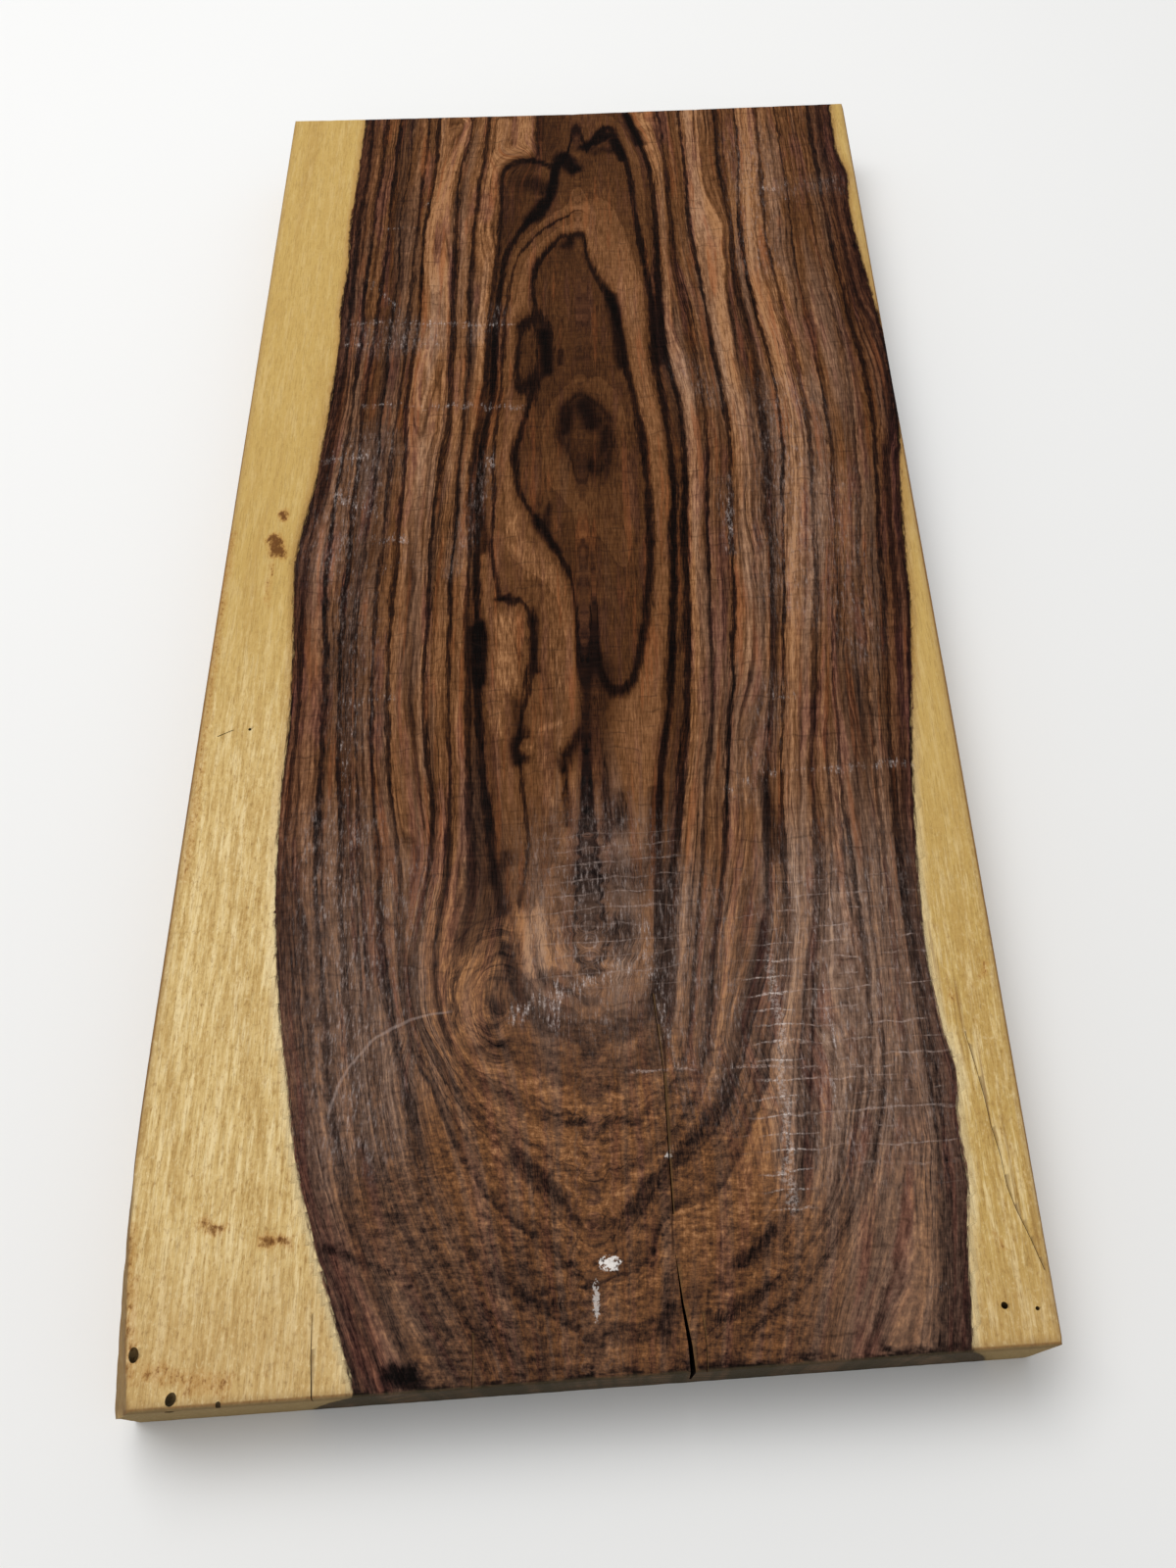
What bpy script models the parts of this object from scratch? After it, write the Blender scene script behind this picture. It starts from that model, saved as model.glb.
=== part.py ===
"""A sawn block of kingwood with sapwood on both edges, lying flat.

The origin is at the middle of the underside. X runs across the grain, Y along it, with the out of
square near end at -Y, and Z up. All values are in metres and radians.
"""

import math

import bmesh
import bpy
from mathutils import Matrix, Vector

# The sawn board
LENGTH = 0.4035
WIDTH = 0.190
THICKNESS = 0.024
NEAR_END_RUN_OUT = 0.0095
FAR_END_HOLLOW = 0.0011
FAR_LEFT_TAPER = 0.0007
FAR_RIGHT_TAPER = 0.0003
NEAR_RIGHT_TAPER = 0.0004
WIDEST_LEFT_Y = -0.030
WIDEST_RIGHT_Y = -0.045
ARRIS_RADIUS = 0.0009
ARRIS_SEGMENTS = 3

# The wane: the log's own outside, left on the top arris at the near left corner
WANE_WIDTH = 0.0068
WANE_DEPTH = 0.0122
WANE_RUN = 0.085
WANE_POWER = 2.4
WANE_STEPS = 9
WANE_OVERSHOOT = 0.006
WANE_BAR_BREADTH = 0.05
WANE_BAR_HEIGHT = 0.02

# The open check in the near end, wide at the end face and closing inwards
CHECK_X = 0.0221
CHECK_RUN = 0.022
CHECK_DRIFT = -0.0026
CHECK_MOUTH = 0.0011
CHECK_TIP = 0.0001
CHECK_DEPTH = 0.017
CHECK_INNER_DEPTH = 0.005
CHECK_OVERSHOOT = 0.003

# Insect holes: place on the top face, radius, depth, and the tilt and heading of the boring
HOLE_SIDES = 12
HOLE_NARROWING = 0.7
HOLES = {
    "edge": (Vector((-0.0886, -0.1909, THICKNESS)), 0.00105, 0.010, math.radians(48), math.radians(96)),
    "end": (Vector((-0.0801, -0.1990, THICKNESS)), 0.00110, 0.009, math.radians(38), math.radians(70)),
    "right": (Vector((0.0842, -0.1847, THICKNESS)), 0.00070, 0.007, math.radians(20), math.radians(120)),
}

# Outline points closer than this are one, and faces flatter than this are one
WELD_DISTANCE = 0.00001
FLAT_ANGLE = 0.001

WOOD_COLOUR = (0.105, 0.048, 0.026, 1.0)
WOOD_ROUGHNESS = 0.62


def clear_scene():
    """Remove whatever the file holds before the block is made."""
    for thing in list(bpy.data.objects):
        bpy.data.objects.remove(thing, do_unlink=True)


def collection(name):
    """A new collection in the scene."""
    made = bpy.data.collections.new(name)
    bpy.context.scene.collection.children.link(made)
    return made


def wood_material():
    """A plain sawn wood finish in the heartwood's colour."""
    material = bpy.data.materials.new("kingwood")
    material.use_nodes = True
    shader = material.node_tree.nodes["Principled BSDF"]
    shader.inputs["Base Color"].default_value = WOOD_COLOUR
    shader.inputs["Roughness"].default_value = WOOD_ROUGHNESS
    shader.inputs["Metallic"].default_value = 0.0
    return material


def near_end_y(x):
    """The near end's line, which isn't square to the sides."""
    return -LENGTH / 2 + NEAR_END_RUN_OUT * (x + WIDTH / 2) / WIDTH


def outline_points():
    """The board seen from above, counterclockwise from the near left corner."""
    left, right, far = -WIDTH / 2, WIDTH / 2, LENGTH / 2
    near_right_x = right - NEAR_RIGHT_TAPER
    return [
        (left, near_end_y(left)),
        (near_right_x, near_end_y(near_right_x)),
        (right, WIDEST_RIGHT_Y),
        (right - FAR_RIGHT_TAPER, far),
        (0.0, far - FAR_END_HOLLOW),
        (left + FAR_LEFT_TAPER, far),
        (left, WIDEST_LEFT_Y),
    ]


def extruded_outline(name, points, thickness):
    """A flat curve through the points, thick about its own plane."""
    data = bpy.data.curves.new(name, "CURVE")
    data.dimensions = "2D"
    data.fill_mode = "BOTH"
    data.extrude = thickness / 2
    spline = data.splines.new("POLY")
    spline.points.add(len(points) - 1)
    for point, (x, y) in zip(spline.points, points):
        point.co = (x, y, 0.0, 1.0)
    spline.use_cyclic_u = True
    made = bpy.data.objects.new(name + "_outline", data)
    made.location.z = thickness / 2
    return made


def mesh_from_curve(curve, name, home):
    """The curve's evaluated shape as a closed mesh object in its place."""
    bpy.context.scene.collection.objects.link(curve)
    bpy.context.view_layer.update()
    evaluated = curve.evaluated_get(bpy.context.evaluated_depsgraph_get())
    mesh = bpy.data.meshes.new_from_object(evaluated)
    mesh.name = name
    shape = bmesh.new()
    shape.from_mesh(mesh)
    bmesh.ops.remove_doubles(shape, verts=shape.verts, dist=WELD_DISTANCE)
    bmesh.ops.dissolve_limit(shape, angle_limit=FLAT_ANGLE, verts=shape.verts, edges=shape.edges)
    bmesh.ops.recalc_face_normals(shape, faces=shape.faces)
    shape.to_mesh(mesh)
    shape.free()
    made = bpy.data.objects.new(name, mesh)
    made.matrix_world = curve.matrix_world.copy()
    home.objects.link(made)
    bpy.data.objects.remove(curve, do_unlink=True)
    return made


def cutter(name, shape, home):
    """A hidden object that the block is cut with."""
    bmesh.ops.recalc_face_normals(shape, faces=shape.faces)
    mesh = bpy.data.meshes.new(name)
    shape.to_mesh(mesh)
    shape.free()
    made = bpy.data.objects.new(name, mesh)
    made.hide_render = True
    made.display_type = "WIRE"
    home.objects.link(made)
    return made


def wane_cutter(home):
    """A bar laid over the near left arris, whose lower face is the outside of the log.

    The bar starts as a cube in its own frame: x along the slope, y along the board, z out of the
    wood. Its lower face sinks into the arris most at the near end and rises out of it further on.
    """
    slope = math.atan2(WANE_DEPTH, WANE_WIDTH)
    sink = WANE_WIDTH * math.sin(slope)
    run = WANE_RUN + WANE_OVERSHOOT
    bar = bmesh.new()
    bmesh.ops.create_cube(bar, size=1.0)
    bmesh.ops.scale(bar, vec=(WANE_BAR_BREADTH, run, WANE_BAR_HEIGHT), verts=bar.verts)
    bmesh.ops.translate(bar, vec=(0.0, run / 2, WANE_BAR_HEIGHT / 2), verts=bar.verts)
    along = [edge for edge in bar.edges if abs(edge.verts[0].co.y - edge.verts[1].co.y) > run / 2]
    bmesh.ops.subdivide_edges(bar, edges=along, cuts=WANE_STEPS, use_grid_fill=True)
    for vertex in bar.verts:
        if vertex.co.z < WANE_BAR_HEIGHT / 2:
            left = max(0.0, 1.0 - (vertex.co.y - WANE_OVERSHOOT) / WANE_RUN)
            vertex.co.z = -sink * left ** WANE_POWER
    place = Matrix.Translation((-WIDTH / 2, -LENGTH / 2 - WANE_OVERSHOOT, THICKNESS))
    place = place @ Matrix.Rotation(-slope, 4, "Y")
    bmesh.ops.transform(bar, matrix=place, verts=bar.verts)
    return cutter("wane_cutter", bar, home)


def check_cutter(home):
    """A wedge for the drying check: wide at the end face, a hair's breadth at its inner tip."""
    mouth_y = near_end_y(CHECK_X)
    wedge = bmesh.new()
    bmesh.ops.create_cube(wedge, size=1.0)
    for vertex in wedge.verts:
        inner = vertex.co.y > 0
        width = CHECK_TIP if inner else CHECK_MOUTH * (1 + CHECK_OVERSHOOT / CHECK_RUN)
        depth = CHECK_INNER_DEPTH if inner else CHECK_DEPTH
        drift = CHECK_DRIFT if inner else 0.0
        vertex.co.x = CHECK_X + drift + width * vertex.co.x
        vertex.co.y = mouth_y + (CHECK_RUN if inner else -CHECK_OVERSHOOT)
        vertex.co.z = THICKNESS + CHECK_OVERSHOOT if vertex.co.z > 0 else THICKNESS - depth
    return cutter("check_cutter", wedge, home)


def hole_cutter(name, place, radius, depth, tilt, heading, home):
    """A slim peg along an insect's boring, starting above the top face."""
    above = 2 * radius
    peg = bmesh.new()
    bmesh.ops.create_cone(
        peg,
        cap_ends=True,
        segments=HOLE_SIDES,
        radius1=HOLE_NARROWING * radius,
        radius2=radius,
        depth=depth + above,
    )
    bmesh.ops.translate(peg, vec=(0.0, 0.0, (above - depth) / 2), verts=peg.verts)
    turn = Matrix.Rotation(heading, 4, "Z") @ Matrix.Rotation(tilt, 4, "Y")
    bmesh.ops.transform(peg, matrix=Matrix.Translation(place) @ turn, verts=peg.verts)
    return cutter(name + "_hole_cutter", peg, home)


def build_block(home, cutters):
    """The board with its arrises eased, then cut by the wane, the check and the holes."""
    curve = extruded_outline("kingwood_block", outline_points(), THICKNESS)
    block = mesh_from_curve(curve, "kingwood_block", home)
    block.data.materials.append(wood_material())

    ease = block.modifiers.new("eased_arrises", "BEVEL")
    ease.width = ARRIS_RADIUS
    ease.segments = ARRIS_SEGMENTS
    ease.limit_method = "ANGLE"
    ease.angle_limit = math.radians(40)

    wane_cutter(cutters)
    check_cutter(cutters)
    for name, (place, radius, depth, tilt, heading) in HOLES.items():
        hole_cutter(name, place, radius, depth, tilt, heading, cutters)
    cut = block.modifiers.new("wane_check_and_holes", "BOOLEAN")
    cut.operation = "DIFFERENCE"
    cut.solver = "EXACT"
    cut.operand_type = "COLLECTION"
    cut.collection = cutters
    return block


clear_scene()
build_block(collection("kingwood_block"), collection("cutters"))
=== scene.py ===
"""Looks for the kingwood block: one finely modelled sawn board in place of its plain CAD solid.

Sizes are in metres in the CAD's frame. What lies on the face of the board is measured in
millimetres: x across the grain from the middle, y along it from the middle of the near end, and
depth down from the top face.
"""

from __future__ import annotations

import logging
import math
from dataclasses import dataclass
from enum import Enum
import bmesh
import bpy
import numpy as np
from mathutils import Matrix, Vector, noise


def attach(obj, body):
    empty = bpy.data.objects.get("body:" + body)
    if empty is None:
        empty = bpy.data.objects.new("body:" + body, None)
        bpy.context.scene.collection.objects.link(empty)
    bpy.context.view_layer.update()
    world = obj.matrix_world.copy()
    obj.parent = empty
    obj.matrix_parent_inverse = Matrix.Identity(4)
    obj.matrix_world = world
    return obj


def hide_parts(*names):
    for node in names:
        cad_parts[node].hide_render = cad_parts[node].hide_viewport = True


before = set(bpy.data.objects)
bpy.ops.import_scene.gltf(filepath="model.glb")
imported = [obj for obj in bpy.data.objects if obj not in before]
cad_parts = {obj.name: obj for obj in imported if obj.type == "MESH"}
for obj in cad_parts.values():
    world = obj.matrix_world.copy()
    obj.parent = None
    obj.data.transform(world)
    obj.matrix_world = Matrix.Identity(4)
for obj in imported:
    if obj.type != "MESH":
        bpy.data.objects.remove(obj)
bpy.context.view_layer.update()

MM = 0.001
NEAR_END_Y = -0.19695
LOG = logging.getLogger("kingwood_block")

Point = tuple[float, float]
Colour = tuple[float, float, float]
Tone = tuple[int, int, int]


class Side(Enum):
    """The half of the board that a line of the figure lies on."""

    LEFT = "left"
    RIGHT = "right"


class Attribute(Enum):
    """What the mesh tells the finish about each vertex."""

    RING = "ring"
    PITCH = "pitch"
    FLOW = "flow"
    HEART = "heart"
    SHADE = "shade"
    TORN = "torn"
    HAZE = "haze"
    SHEEN = "sheen"
    STAIN = "stain"
    END = "end_grain"
    RIM = "rim"
    WANE = "wane"
    CUT_WALL = "cut_wall"


@dataclass(frozen=True)
class Guide:
    """One line of the figure, followed on the top face.

    The ring value counts outwards from the eye, and both sides of the board share it.
    """

    ring: float
    path: tuple[Point, ...]
    closed: bool = False


@dataclass(frozen=True)
class DarkLine:
    """A dark growth line: which ring it follows, its half width in mm and how dark it is."""

    ring: float
    half_width: float
    strength: float


@dataclass(frozen=True)
class Mark:
    """A soft-edged patch along a straight stroke on the top face, in mm."""

    start: Point
    end: Point
    half_width: float
    strength: float = 1.0


def marks(*rows: tuple[float, ...]) -> tuple[Mark, ...]:
    """Marks from rows of x and y at the start, x and y at the end, half width and strength."""
    return tuple(Mark(row[:2], row[2:4], *row[4:]) for row in rows)


EYE = Guide(5, ((5, 262), (0, 261), (-3, 254), (-2, 246), (2, 239), (6, 233), (10, 238), (11.5, 246),
                (10, 256), (5, 262)), closed=True)
INNER_OVAL = Guide(14, (
    (5.5, 168), (4.5, 176), (4, 185), (2, 194), (-2, 203), (-6, 211), (-9, 218), (-13, 224),
    (-15.3, 232), (-15.8, 241), (-14, 252), (-11, 264), (-9, 273), (-8.5, 284), (-9.8, 298),
    (-11.3, 312), (-9, 323), (-4, 331), (0, 335), (3, 328), (7, 317), (11, 308), (14, 297), (16, 285),
    (17, 272), (19, 259), (20.3, 247), (21.2, 232), (21.3, 215), (20.3, 199), (19, 183), (17, 170),
    (14.5, 163), (10, 160), (5.5, 168)), closed=True)
LOBE = Guide(20, (
    (-20, 300), (-20.3, 272), (-21, 258), (-22, 240), (-21.6, 222), (-22, 207), (-20, 197),
    (-18.8, 190.5), (-13, 189), (-10.3, 182), (-9.3, 172), (-11.5, 162), (-13.5, 152), (-14, 142),
    (-12.5, 132), (-11.2, 122), (-11.2, 112), (-12.3, 103), (-12.6, 94), (-10, 86), (-3, 81), (5, 79),
    (11, 80), (15, 86), (16.3, 97), (16.3, 115), (17, 135), (19.5, 155), (22, 172), (23.3, 195),
    (24.5, 215), (24.8, 240), (23.5, 258), (21, 280), (20, 300)))
PEAK = Guide(26, (
    (-22, 133), (-23, 146), (-24.5, 160), (-25, 175), (-25.8, 190), (-26, 210), (-25.5, 232),
    (-24.6, 252), (-22.6, 264), (-22.3, 285), (-22.2, 303), (-20.8, 320), (-18.5, 330), (-13, 341),
    (-8, 348), (-5, 358), (-2.5, 370), (4, 377), (9, 385), (14, 389.5), (16.5, 381), (19, 371),
    (20.5, 358), (21.5, 343), (23, 328), (24.5, 313), (25, 295), (25, 278), (26.5, 263), (28, 248),
    (28.8, 233), (28.2, 215), (27.3, 198), (26, 182), (25.3, 168), (23.8, 153), (21.3, 138), (20, 122),
    (19.3, 108), (18.5, 92), (17.5, 80), (13.5, 72.5), (5, 70.5), (-3, 71.5), (-9, 74), (-13, 80),
    (-15.5, 90), (-17, 102), (-19.5, 114), (-22, 133)), closed=True)
SECOND_PEAK = Guide(31, (
    (-9, 399), (-9.6, 384), (-10.5, 374), (-17, 373), (-21, 367), (-21.8, 350), (-22.3, 330),
    (-23.5, 312), (-24.4, 295), (-24.5, 275), (-25.4, 262), (-27, 248), (-28, 225), (-28, 200),
    (-28, 180), (-27, 160), (-26, 140), (-25, 122), (-24, 105), (-26, 93), (-28, 80), (-26, 71),
    (-21, 66.5), (-11, 64), (-3, 60), (4, 58.5), (11, 60), (16.5, 65), (19.5, 73), (21, 85),
    (21.7, 97), (22.8, 108), (24.3, 120), (26, 134), (28, 150), (29, 165), (29.8, 180), (30.3, 195),
    (31, 212), (31.7, 230), (32, 245), (31.2, 260), (29.5, 273), (28, 287), (27.6, 305), (27.7, 325),
    (27.5, 350), (26.7, 367), (24.5, 379), (21.5, 389), (19, 398)))
FAR_TAN_STREAK = Guide(34.5, ((-17.5, 400), (-17.8, 390), (-19, 378)))
FIRST_CUP = Guide(38, (
    (-27, 398), (-28, 380), (-30, 355), (-31, 325), (-31, 300), (-30.7, 275), (-31, 255), (-32, 235),
    (-32.2, 215), (-32.8, 200), (-32.4, 175), (-31.8, 155), (-31, 138), (-30.2, 122), (-31, 105),
    (-32.2, 92), (-31.5, 80), (-28, 69), (-22, 61), (-14, 56), (-6, 51.5), (3, 49.5), (12, 51),
    (19, 56), (23, 64), (25, 75), (26.8, 87), (28.5, 98), (30.3, 112), (32, 130), (34.5, 150),
    (35.8, 168), (36.3, 185), (36.8, 202), (37.5, 222), (38.6, 240), (38.7, 258), (38, 275),
    (36.5, 292), (35, 308), (33.3, 325), (33, 345), (33, 362), (31.5, 380), (31, 398)))
SECOND_CUP = Guide(45, (
    (38, 398), (38.2, 380), (38.6, 360), (38.7, 343), (39.7, 325), (41, 307), (42.3, 290), (43.7, 273),
    (45, 258), (45.4, 247), (44.6, 233), (43.7, 218), (43, 202), (42.3, 182), (40.7, 165), (38.5, 149),
    (37, 134), (35.8, 118), (34, 105), (32, 93), (30.3, 80), (28.5, 68), (25.5, 57), (20.5, 48.5),
    (12, 42), (4, 39.5), (-4, 42), (-12, 47.5), (-20, 54), (-27, 63), (-32.5, 73), (-34.5, 88),
    (-33.5, 102)))
THIRD_CUP = Guide(52, (
    (-32, 396), (-33.5, 384), (-35.3, 370), (-36.3, 352), (-36.3, 325), (-35.7, 300), (-35.3, 278),
    (-35.6, 256), (-37, 242), (-37.8, 222), (-38.3, 203), (-38.2, 180), (-37.9, 160), (-36.7, 143),
    (-35, 128), (-34, 114), (-35.5, 101), (-37.2, 88), (-35.5, 74), (-31, 66), (-26, 58), (-20.5, 51),
    (-14, 44.5), (-8, 38.5), (-3, 32.5), (3, 29.3), (8, 30), (12.5, 35), (17, 40), (22, 44), (27, 48.5),
    (31, 55), (33.5, 64), (36.5, 74), (40, 84), (43, 94), (44.5, 106), (45.7, 120), (47, 136),
    (49.5, 152), (51.5, 168), (52.8, 185), (53.5, 203), (54, 220), (55.2, 238), (55.2, 255),
    (54.6, 272), (53.7, 288), (52.4, 303), (51.7, 320), (51.9, 338), (50.8, 354), (50, 368),
    (50.5, 383), (50.8, 398)))
FOURTH_CUP = Guide(58, (
    (-44, 398), (-44.5, 370), (-46.3, 345), (-46.8, 320), (-46.8, 297), (-47.6, 280), (-48, 260),
    (-47.8, 235), (-47.9, 210), (-48, 185), (-47.8, 162), (-46.8, 148), (-45.5, 134), (-43.2, 119),
    (-41.3, 106), (-40.6, 95), (-39.5, 82), (-36.5, 69), (-31.5, 60), (-27, 51), (-22, 43),
    (-15.5, 34.5), (-8, 28), (-1, 23), (5, 20.8), (10.5, 21.3), (14.5, 28), (18.5, 33.5), (25.5, 36),
    (31, 42), (35, 49), (38.5, 57), (41.5, 67), (44.8, 78), (47, 88), (48.6, 98), (49, 111), (50, 127),
    (51.7, 145), (53.7, 165), (55.5, 185), (57, 205), (59, 228), (60.4, 246), (60.2, 262), (58.8, 280),
    (57, 295), (55.3, 311), (54.9, 330), (55.7, 352), (57, 375), (57, 398)))
FIFTH_CUP = Guide(65, (
    (-47, 398), (-47.5, 375), (-48.2, 350), (-48.9, 322), (-49.8, 292), (-50.5, 262), (-51.6, 238),
    (-52, 208), (-52.2, 180), (-51.5, 160), (-50, 141), (-47.8, 124), (-46, 109), (-44.8, 96),
    (-43, 82), (-40.3, 70), (-37, 58), (-34.5, 47), (-31.5, 38), (-27, 29.5), (-20.5, 22.5), (-13, 17),
    (-5, 12.5), (4, 9.5), (13, 9.5), (21, 15), (29, 19), (36, 24), (41.5, 28.5), (45.5, 35), (48, 45),
    (49.5, 57), (51, 70), (53, 84), (55, 97), (56.7, 112), (57.6, 128), (58.7, 144), (61, 160),
    (63, 176), (64.7, 192), (66.3, 210), (67.8, 230), (68.5, 248), (67.7, 264), (66.4, 284),
    (64.4, 305), (62.8, 325), (63, 348), (63.6, 372), (64, 398)))
LEFT_LINES = (
    Guide(72, ((-52.8, 398), (-53.4, 370), (-54.3, 345), (-54.2, 312), (-54.8, 282), (-55, 255),
               (-55.6, 225), (-57, 200), (-57.2, 180), (-56, 160), (-54.6, 142), (-52.6, 124),
               (-50.3, 105), (-47.8, 84), (-45.3, 66), (-42, 50), (-37.5, 36), (-31, 24), (-22, 13),
               (-12, 4), (-3, -4))),
    Guide(79, ((-57.3, 398), (-57.6, 370), (-57.9, 348), (-58.5, 320), (-59.2, 292), (-60.7, 262),
               (-61, 235), (-60.9, 205), (-61.1, 180), (-60, 160), (-58.7, 141), (-57, 122),
               (-54.8, 101), (-52.2, 82), (-49.2, 64), (-46, 47), (-41.5, 31), (-35, 17), (-28, 6),
               (-21, -5))),
    Guide(86, ((-61.5, 398), (-62, 380), (-63, 350), (-63.5, 320), (-63.6, 290), (-63.8, 265),
               (-65, 242), (-66, 222), (-66.5, 203), (-65.2, 182), (-63.7, 162), (-63, 141),
               (-62, 121), (-60, 101), (-57.4, 82), (-54.6, 64), (-51, 46), (-46, 29), (-40, 15),
               (-34, 4), (-29, -5))),
    Guide(92, ((-66.8, 398), (-67, 370), (-68, 345), (-67.9, 312), (-67.8, 282), (-68.8, 255),
               (-70, 238), (-71.7, 217), (-72.6, 202), (-71.6, 182), (-70.6, 160), (-70.3, 140),
               (-69.6, 120), (-68, 100), (-65.5, 82), (-62.2, 64), (-58.3, 46), (-52.5, 28),
               (-46, 13), (-41.5, 2), (-38.5, -5))),
)
RIGHT_LINES = (
    Guide(72, ((70.5, 398), (71.2, 375), (71.6, 350), (71, 322), (71.5, 303), (72.6, 284), (73.6, 264),
               (74, 246), (73.2, 227), (71.4, 208), (69, 188), (67, 170), (65.6, 150), (65, 130),
               (64.8, 110), (65, 92), (64.5, 76), (63, 60), (60.5, 48), (57, 37), (51.5, 27), (44, 18),
               (34, 11), (24, 3), (18, -4))),
    Guide(79, ((77, 398), (77.5, 370), (78.3, 340), (79.2, 316), (80.8, 297), (82, 276), (81.7, 252),
               (80.4, 232), (78.5, 213), (76.8, 195), (75.6, 172), (74.2, 148), (73.3, 122),
               (72.5, 97), (71.9, 75), (70.8, 54), (68.5, 37), (64.5, 22), (59, 9), (54, -3))),
    Guide(86, ((82, 398), (82.1, 375), (83, 345), (83.9, 318), (85.4, 292), (86.8, 268), (87, 250),
               (86.2, 234), (84.3, 213), (82.5, 195), (80.3, 168), (78.5, 144), (77, 122),
               (76.2, 100), (76, 78), (76.4, 56), (75.8, 38), (73.8, 20), (71, 6), (69, -4))),
)
HEART_RING = 98.0
LEFT_HEART_EDGE = Guide(HEART_RING, (
    (-69.5, 399), (-70, 375), (-70.5, 355), (-70.8, 340), (-70.2, 325), (-71, 302), (-70.3, 290),
    (-70.8, 270), (-71.7, 250), (-72.7, 232), (-74.5, 218), (-75.6, 205), (-74.6, 190), (-73, 170),
    (-72.3, 150), (-72.3, 133), (-71.4, 112), (-69.4, 92), (-66.9, 76), (-63.5, 60), (-60.3, 44),
    (-56, 30), (-50.5, 15), (-46, 3), (-43.5, -5)))
RIGHT_HEART_EDGE = Guide(HEART_RING, (
    (90.3, 399), (90.1, 372), (92.1, 360), (91, 345), (91.8, 325), (92.8, 309), (94.3, 290),
    (95.5, 270), (94.6, 248), (92.5, 230), (90.6, 208), (89.2, 186), (87, 168), (84.5, 148), (82, 125),
    (80.3, 104), (79.5, 88), (80.4, 70), (82, 60), (80.8, 48), (81, 37), (79.3, 26), (77.7, 11),
    (76, -3)))
GUIDES = (EYE, INNER_OVAL, LOBE, PEAK, SECOND_PEAK, FAR_TAN_STREAK, FIRST_CUP, SECOND_CUP, THIRD_CUP,
          FOURTH_CUP, FIFTH_CUP, *LEFT_LINES, *RIGHT_LINES, LEFT_HEART_EDGE, RIGHT_HEART_EDGE)

# The middle of the eye, and the plain wood below it, where no line is drawn
EYE_MIDDLE = (5.0, 247.0)
PLAIN_MIDDLE = Guide(15, ((5, 152), (6, 125), (6, 98)))

DARK_LINES = {
    Side.LEFT: (
        DarkLine(5, 0.8, 0.35), DarkLine(14, 0.9, 0.85), DarkLine(20, 0.6, 0.8), DarkLine(26, 1.2, 1.0),
        DarkLine(31, 0.9, 0.75), DarkLine(38, 0.6, 0.7), DarkLine(45, 0.3, 0.0), DarkLine(52, 0.7, 0.85),
        DarkLine(58, 0.7, 0.8), DarkLine(65, 0.6, 0.75), DarkLine(72, 0.4, 0.7), DarkLine(79, 0.7, 0.9),
        DarkLine(86, 0.75, 0.9), DarkLine(92, 0.8, 0.7), DarkLine(97.5, 0.9, 0.6)),
    Side.RIGHT: (
        DarkLine(5, 0.8, 0.35), DarkLine(14, 1.3, 0.9), DarkLine(20, 0.3, 0.0), DarkLine(26, 1.0, 0.95),
        DarkLine(31, 1.0, 0.95), DarkLine(38, 0.5, 0.65), DarkLine(45, 0.7, 0.9), DarkLine(52, 0.9, 0.7),
        DarkLine(58, 0.5, 0.85), DarkLine(65, 0.8, 0.65), DarkLine(72, 0.45, 0.6), DarkLine(79, 0.6, 0.55),
        DarkLine(86, 0.7, 0.8), DarkLine(92, 0.9, 0.6), DarkLine(97.5, 1.2, 0.7)),
}

# How light the wood is between its dark lines, as (ring, lightness) stops
LIGHTNESS = {
    Side.LEFT: (
        (0, 0.36), (3, 0.22), (5, 0.24), (7, 0.42), (12, 0.47), (14, 0.40), (15.5, 0.62), (18.5, 0.64),
        (21.5, 0.55), (25, 0.50), (27, 0.35), (30.5, 0.35), (32, 0.74), (35.5, 0.74), (36.5, 0.50),
        (38, 0.50), (39.5, 0.70), (44, 0.64), (50.5, 0.58), (53, 0.86), (57, 0.88), (59, 0.56), (64, 0.57),
        (66, 0.57), (71, 0.48), (74, 0.38), (78, 0.46), (80.5, 0.60), (85, 0.66), (88, 0.56),
        (93, 0.38), (98, 0.30)),
    Side.RIGHT: (
        (0, 0.36), (3, 0.22), (5, 0.24), (7, 0.42), (12, 0.47), (14, 0.42), (15.5, 0.62), (21, 0.64),
        (25, 0.50), (27.5, 0.46), (30, 0.42), (32, 0.78), (35.5, 0.80), (37, 0.56), (39, 0.56),
        (43.5, 0.58), (46, 0.74), (48, 0.82), (50.3, 0.80), (51.2, 0.48), (53.5, 0.48), (55, 0.66),
        (59, 0.80), (60.5, 0.94), (63.5, 0.90), (66, 0.66), (71, 0.64), (74, 0.56), (80, 0.60),
        (85, 0.56), (87, 0.46), (98, 0.30)),
}

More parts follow.
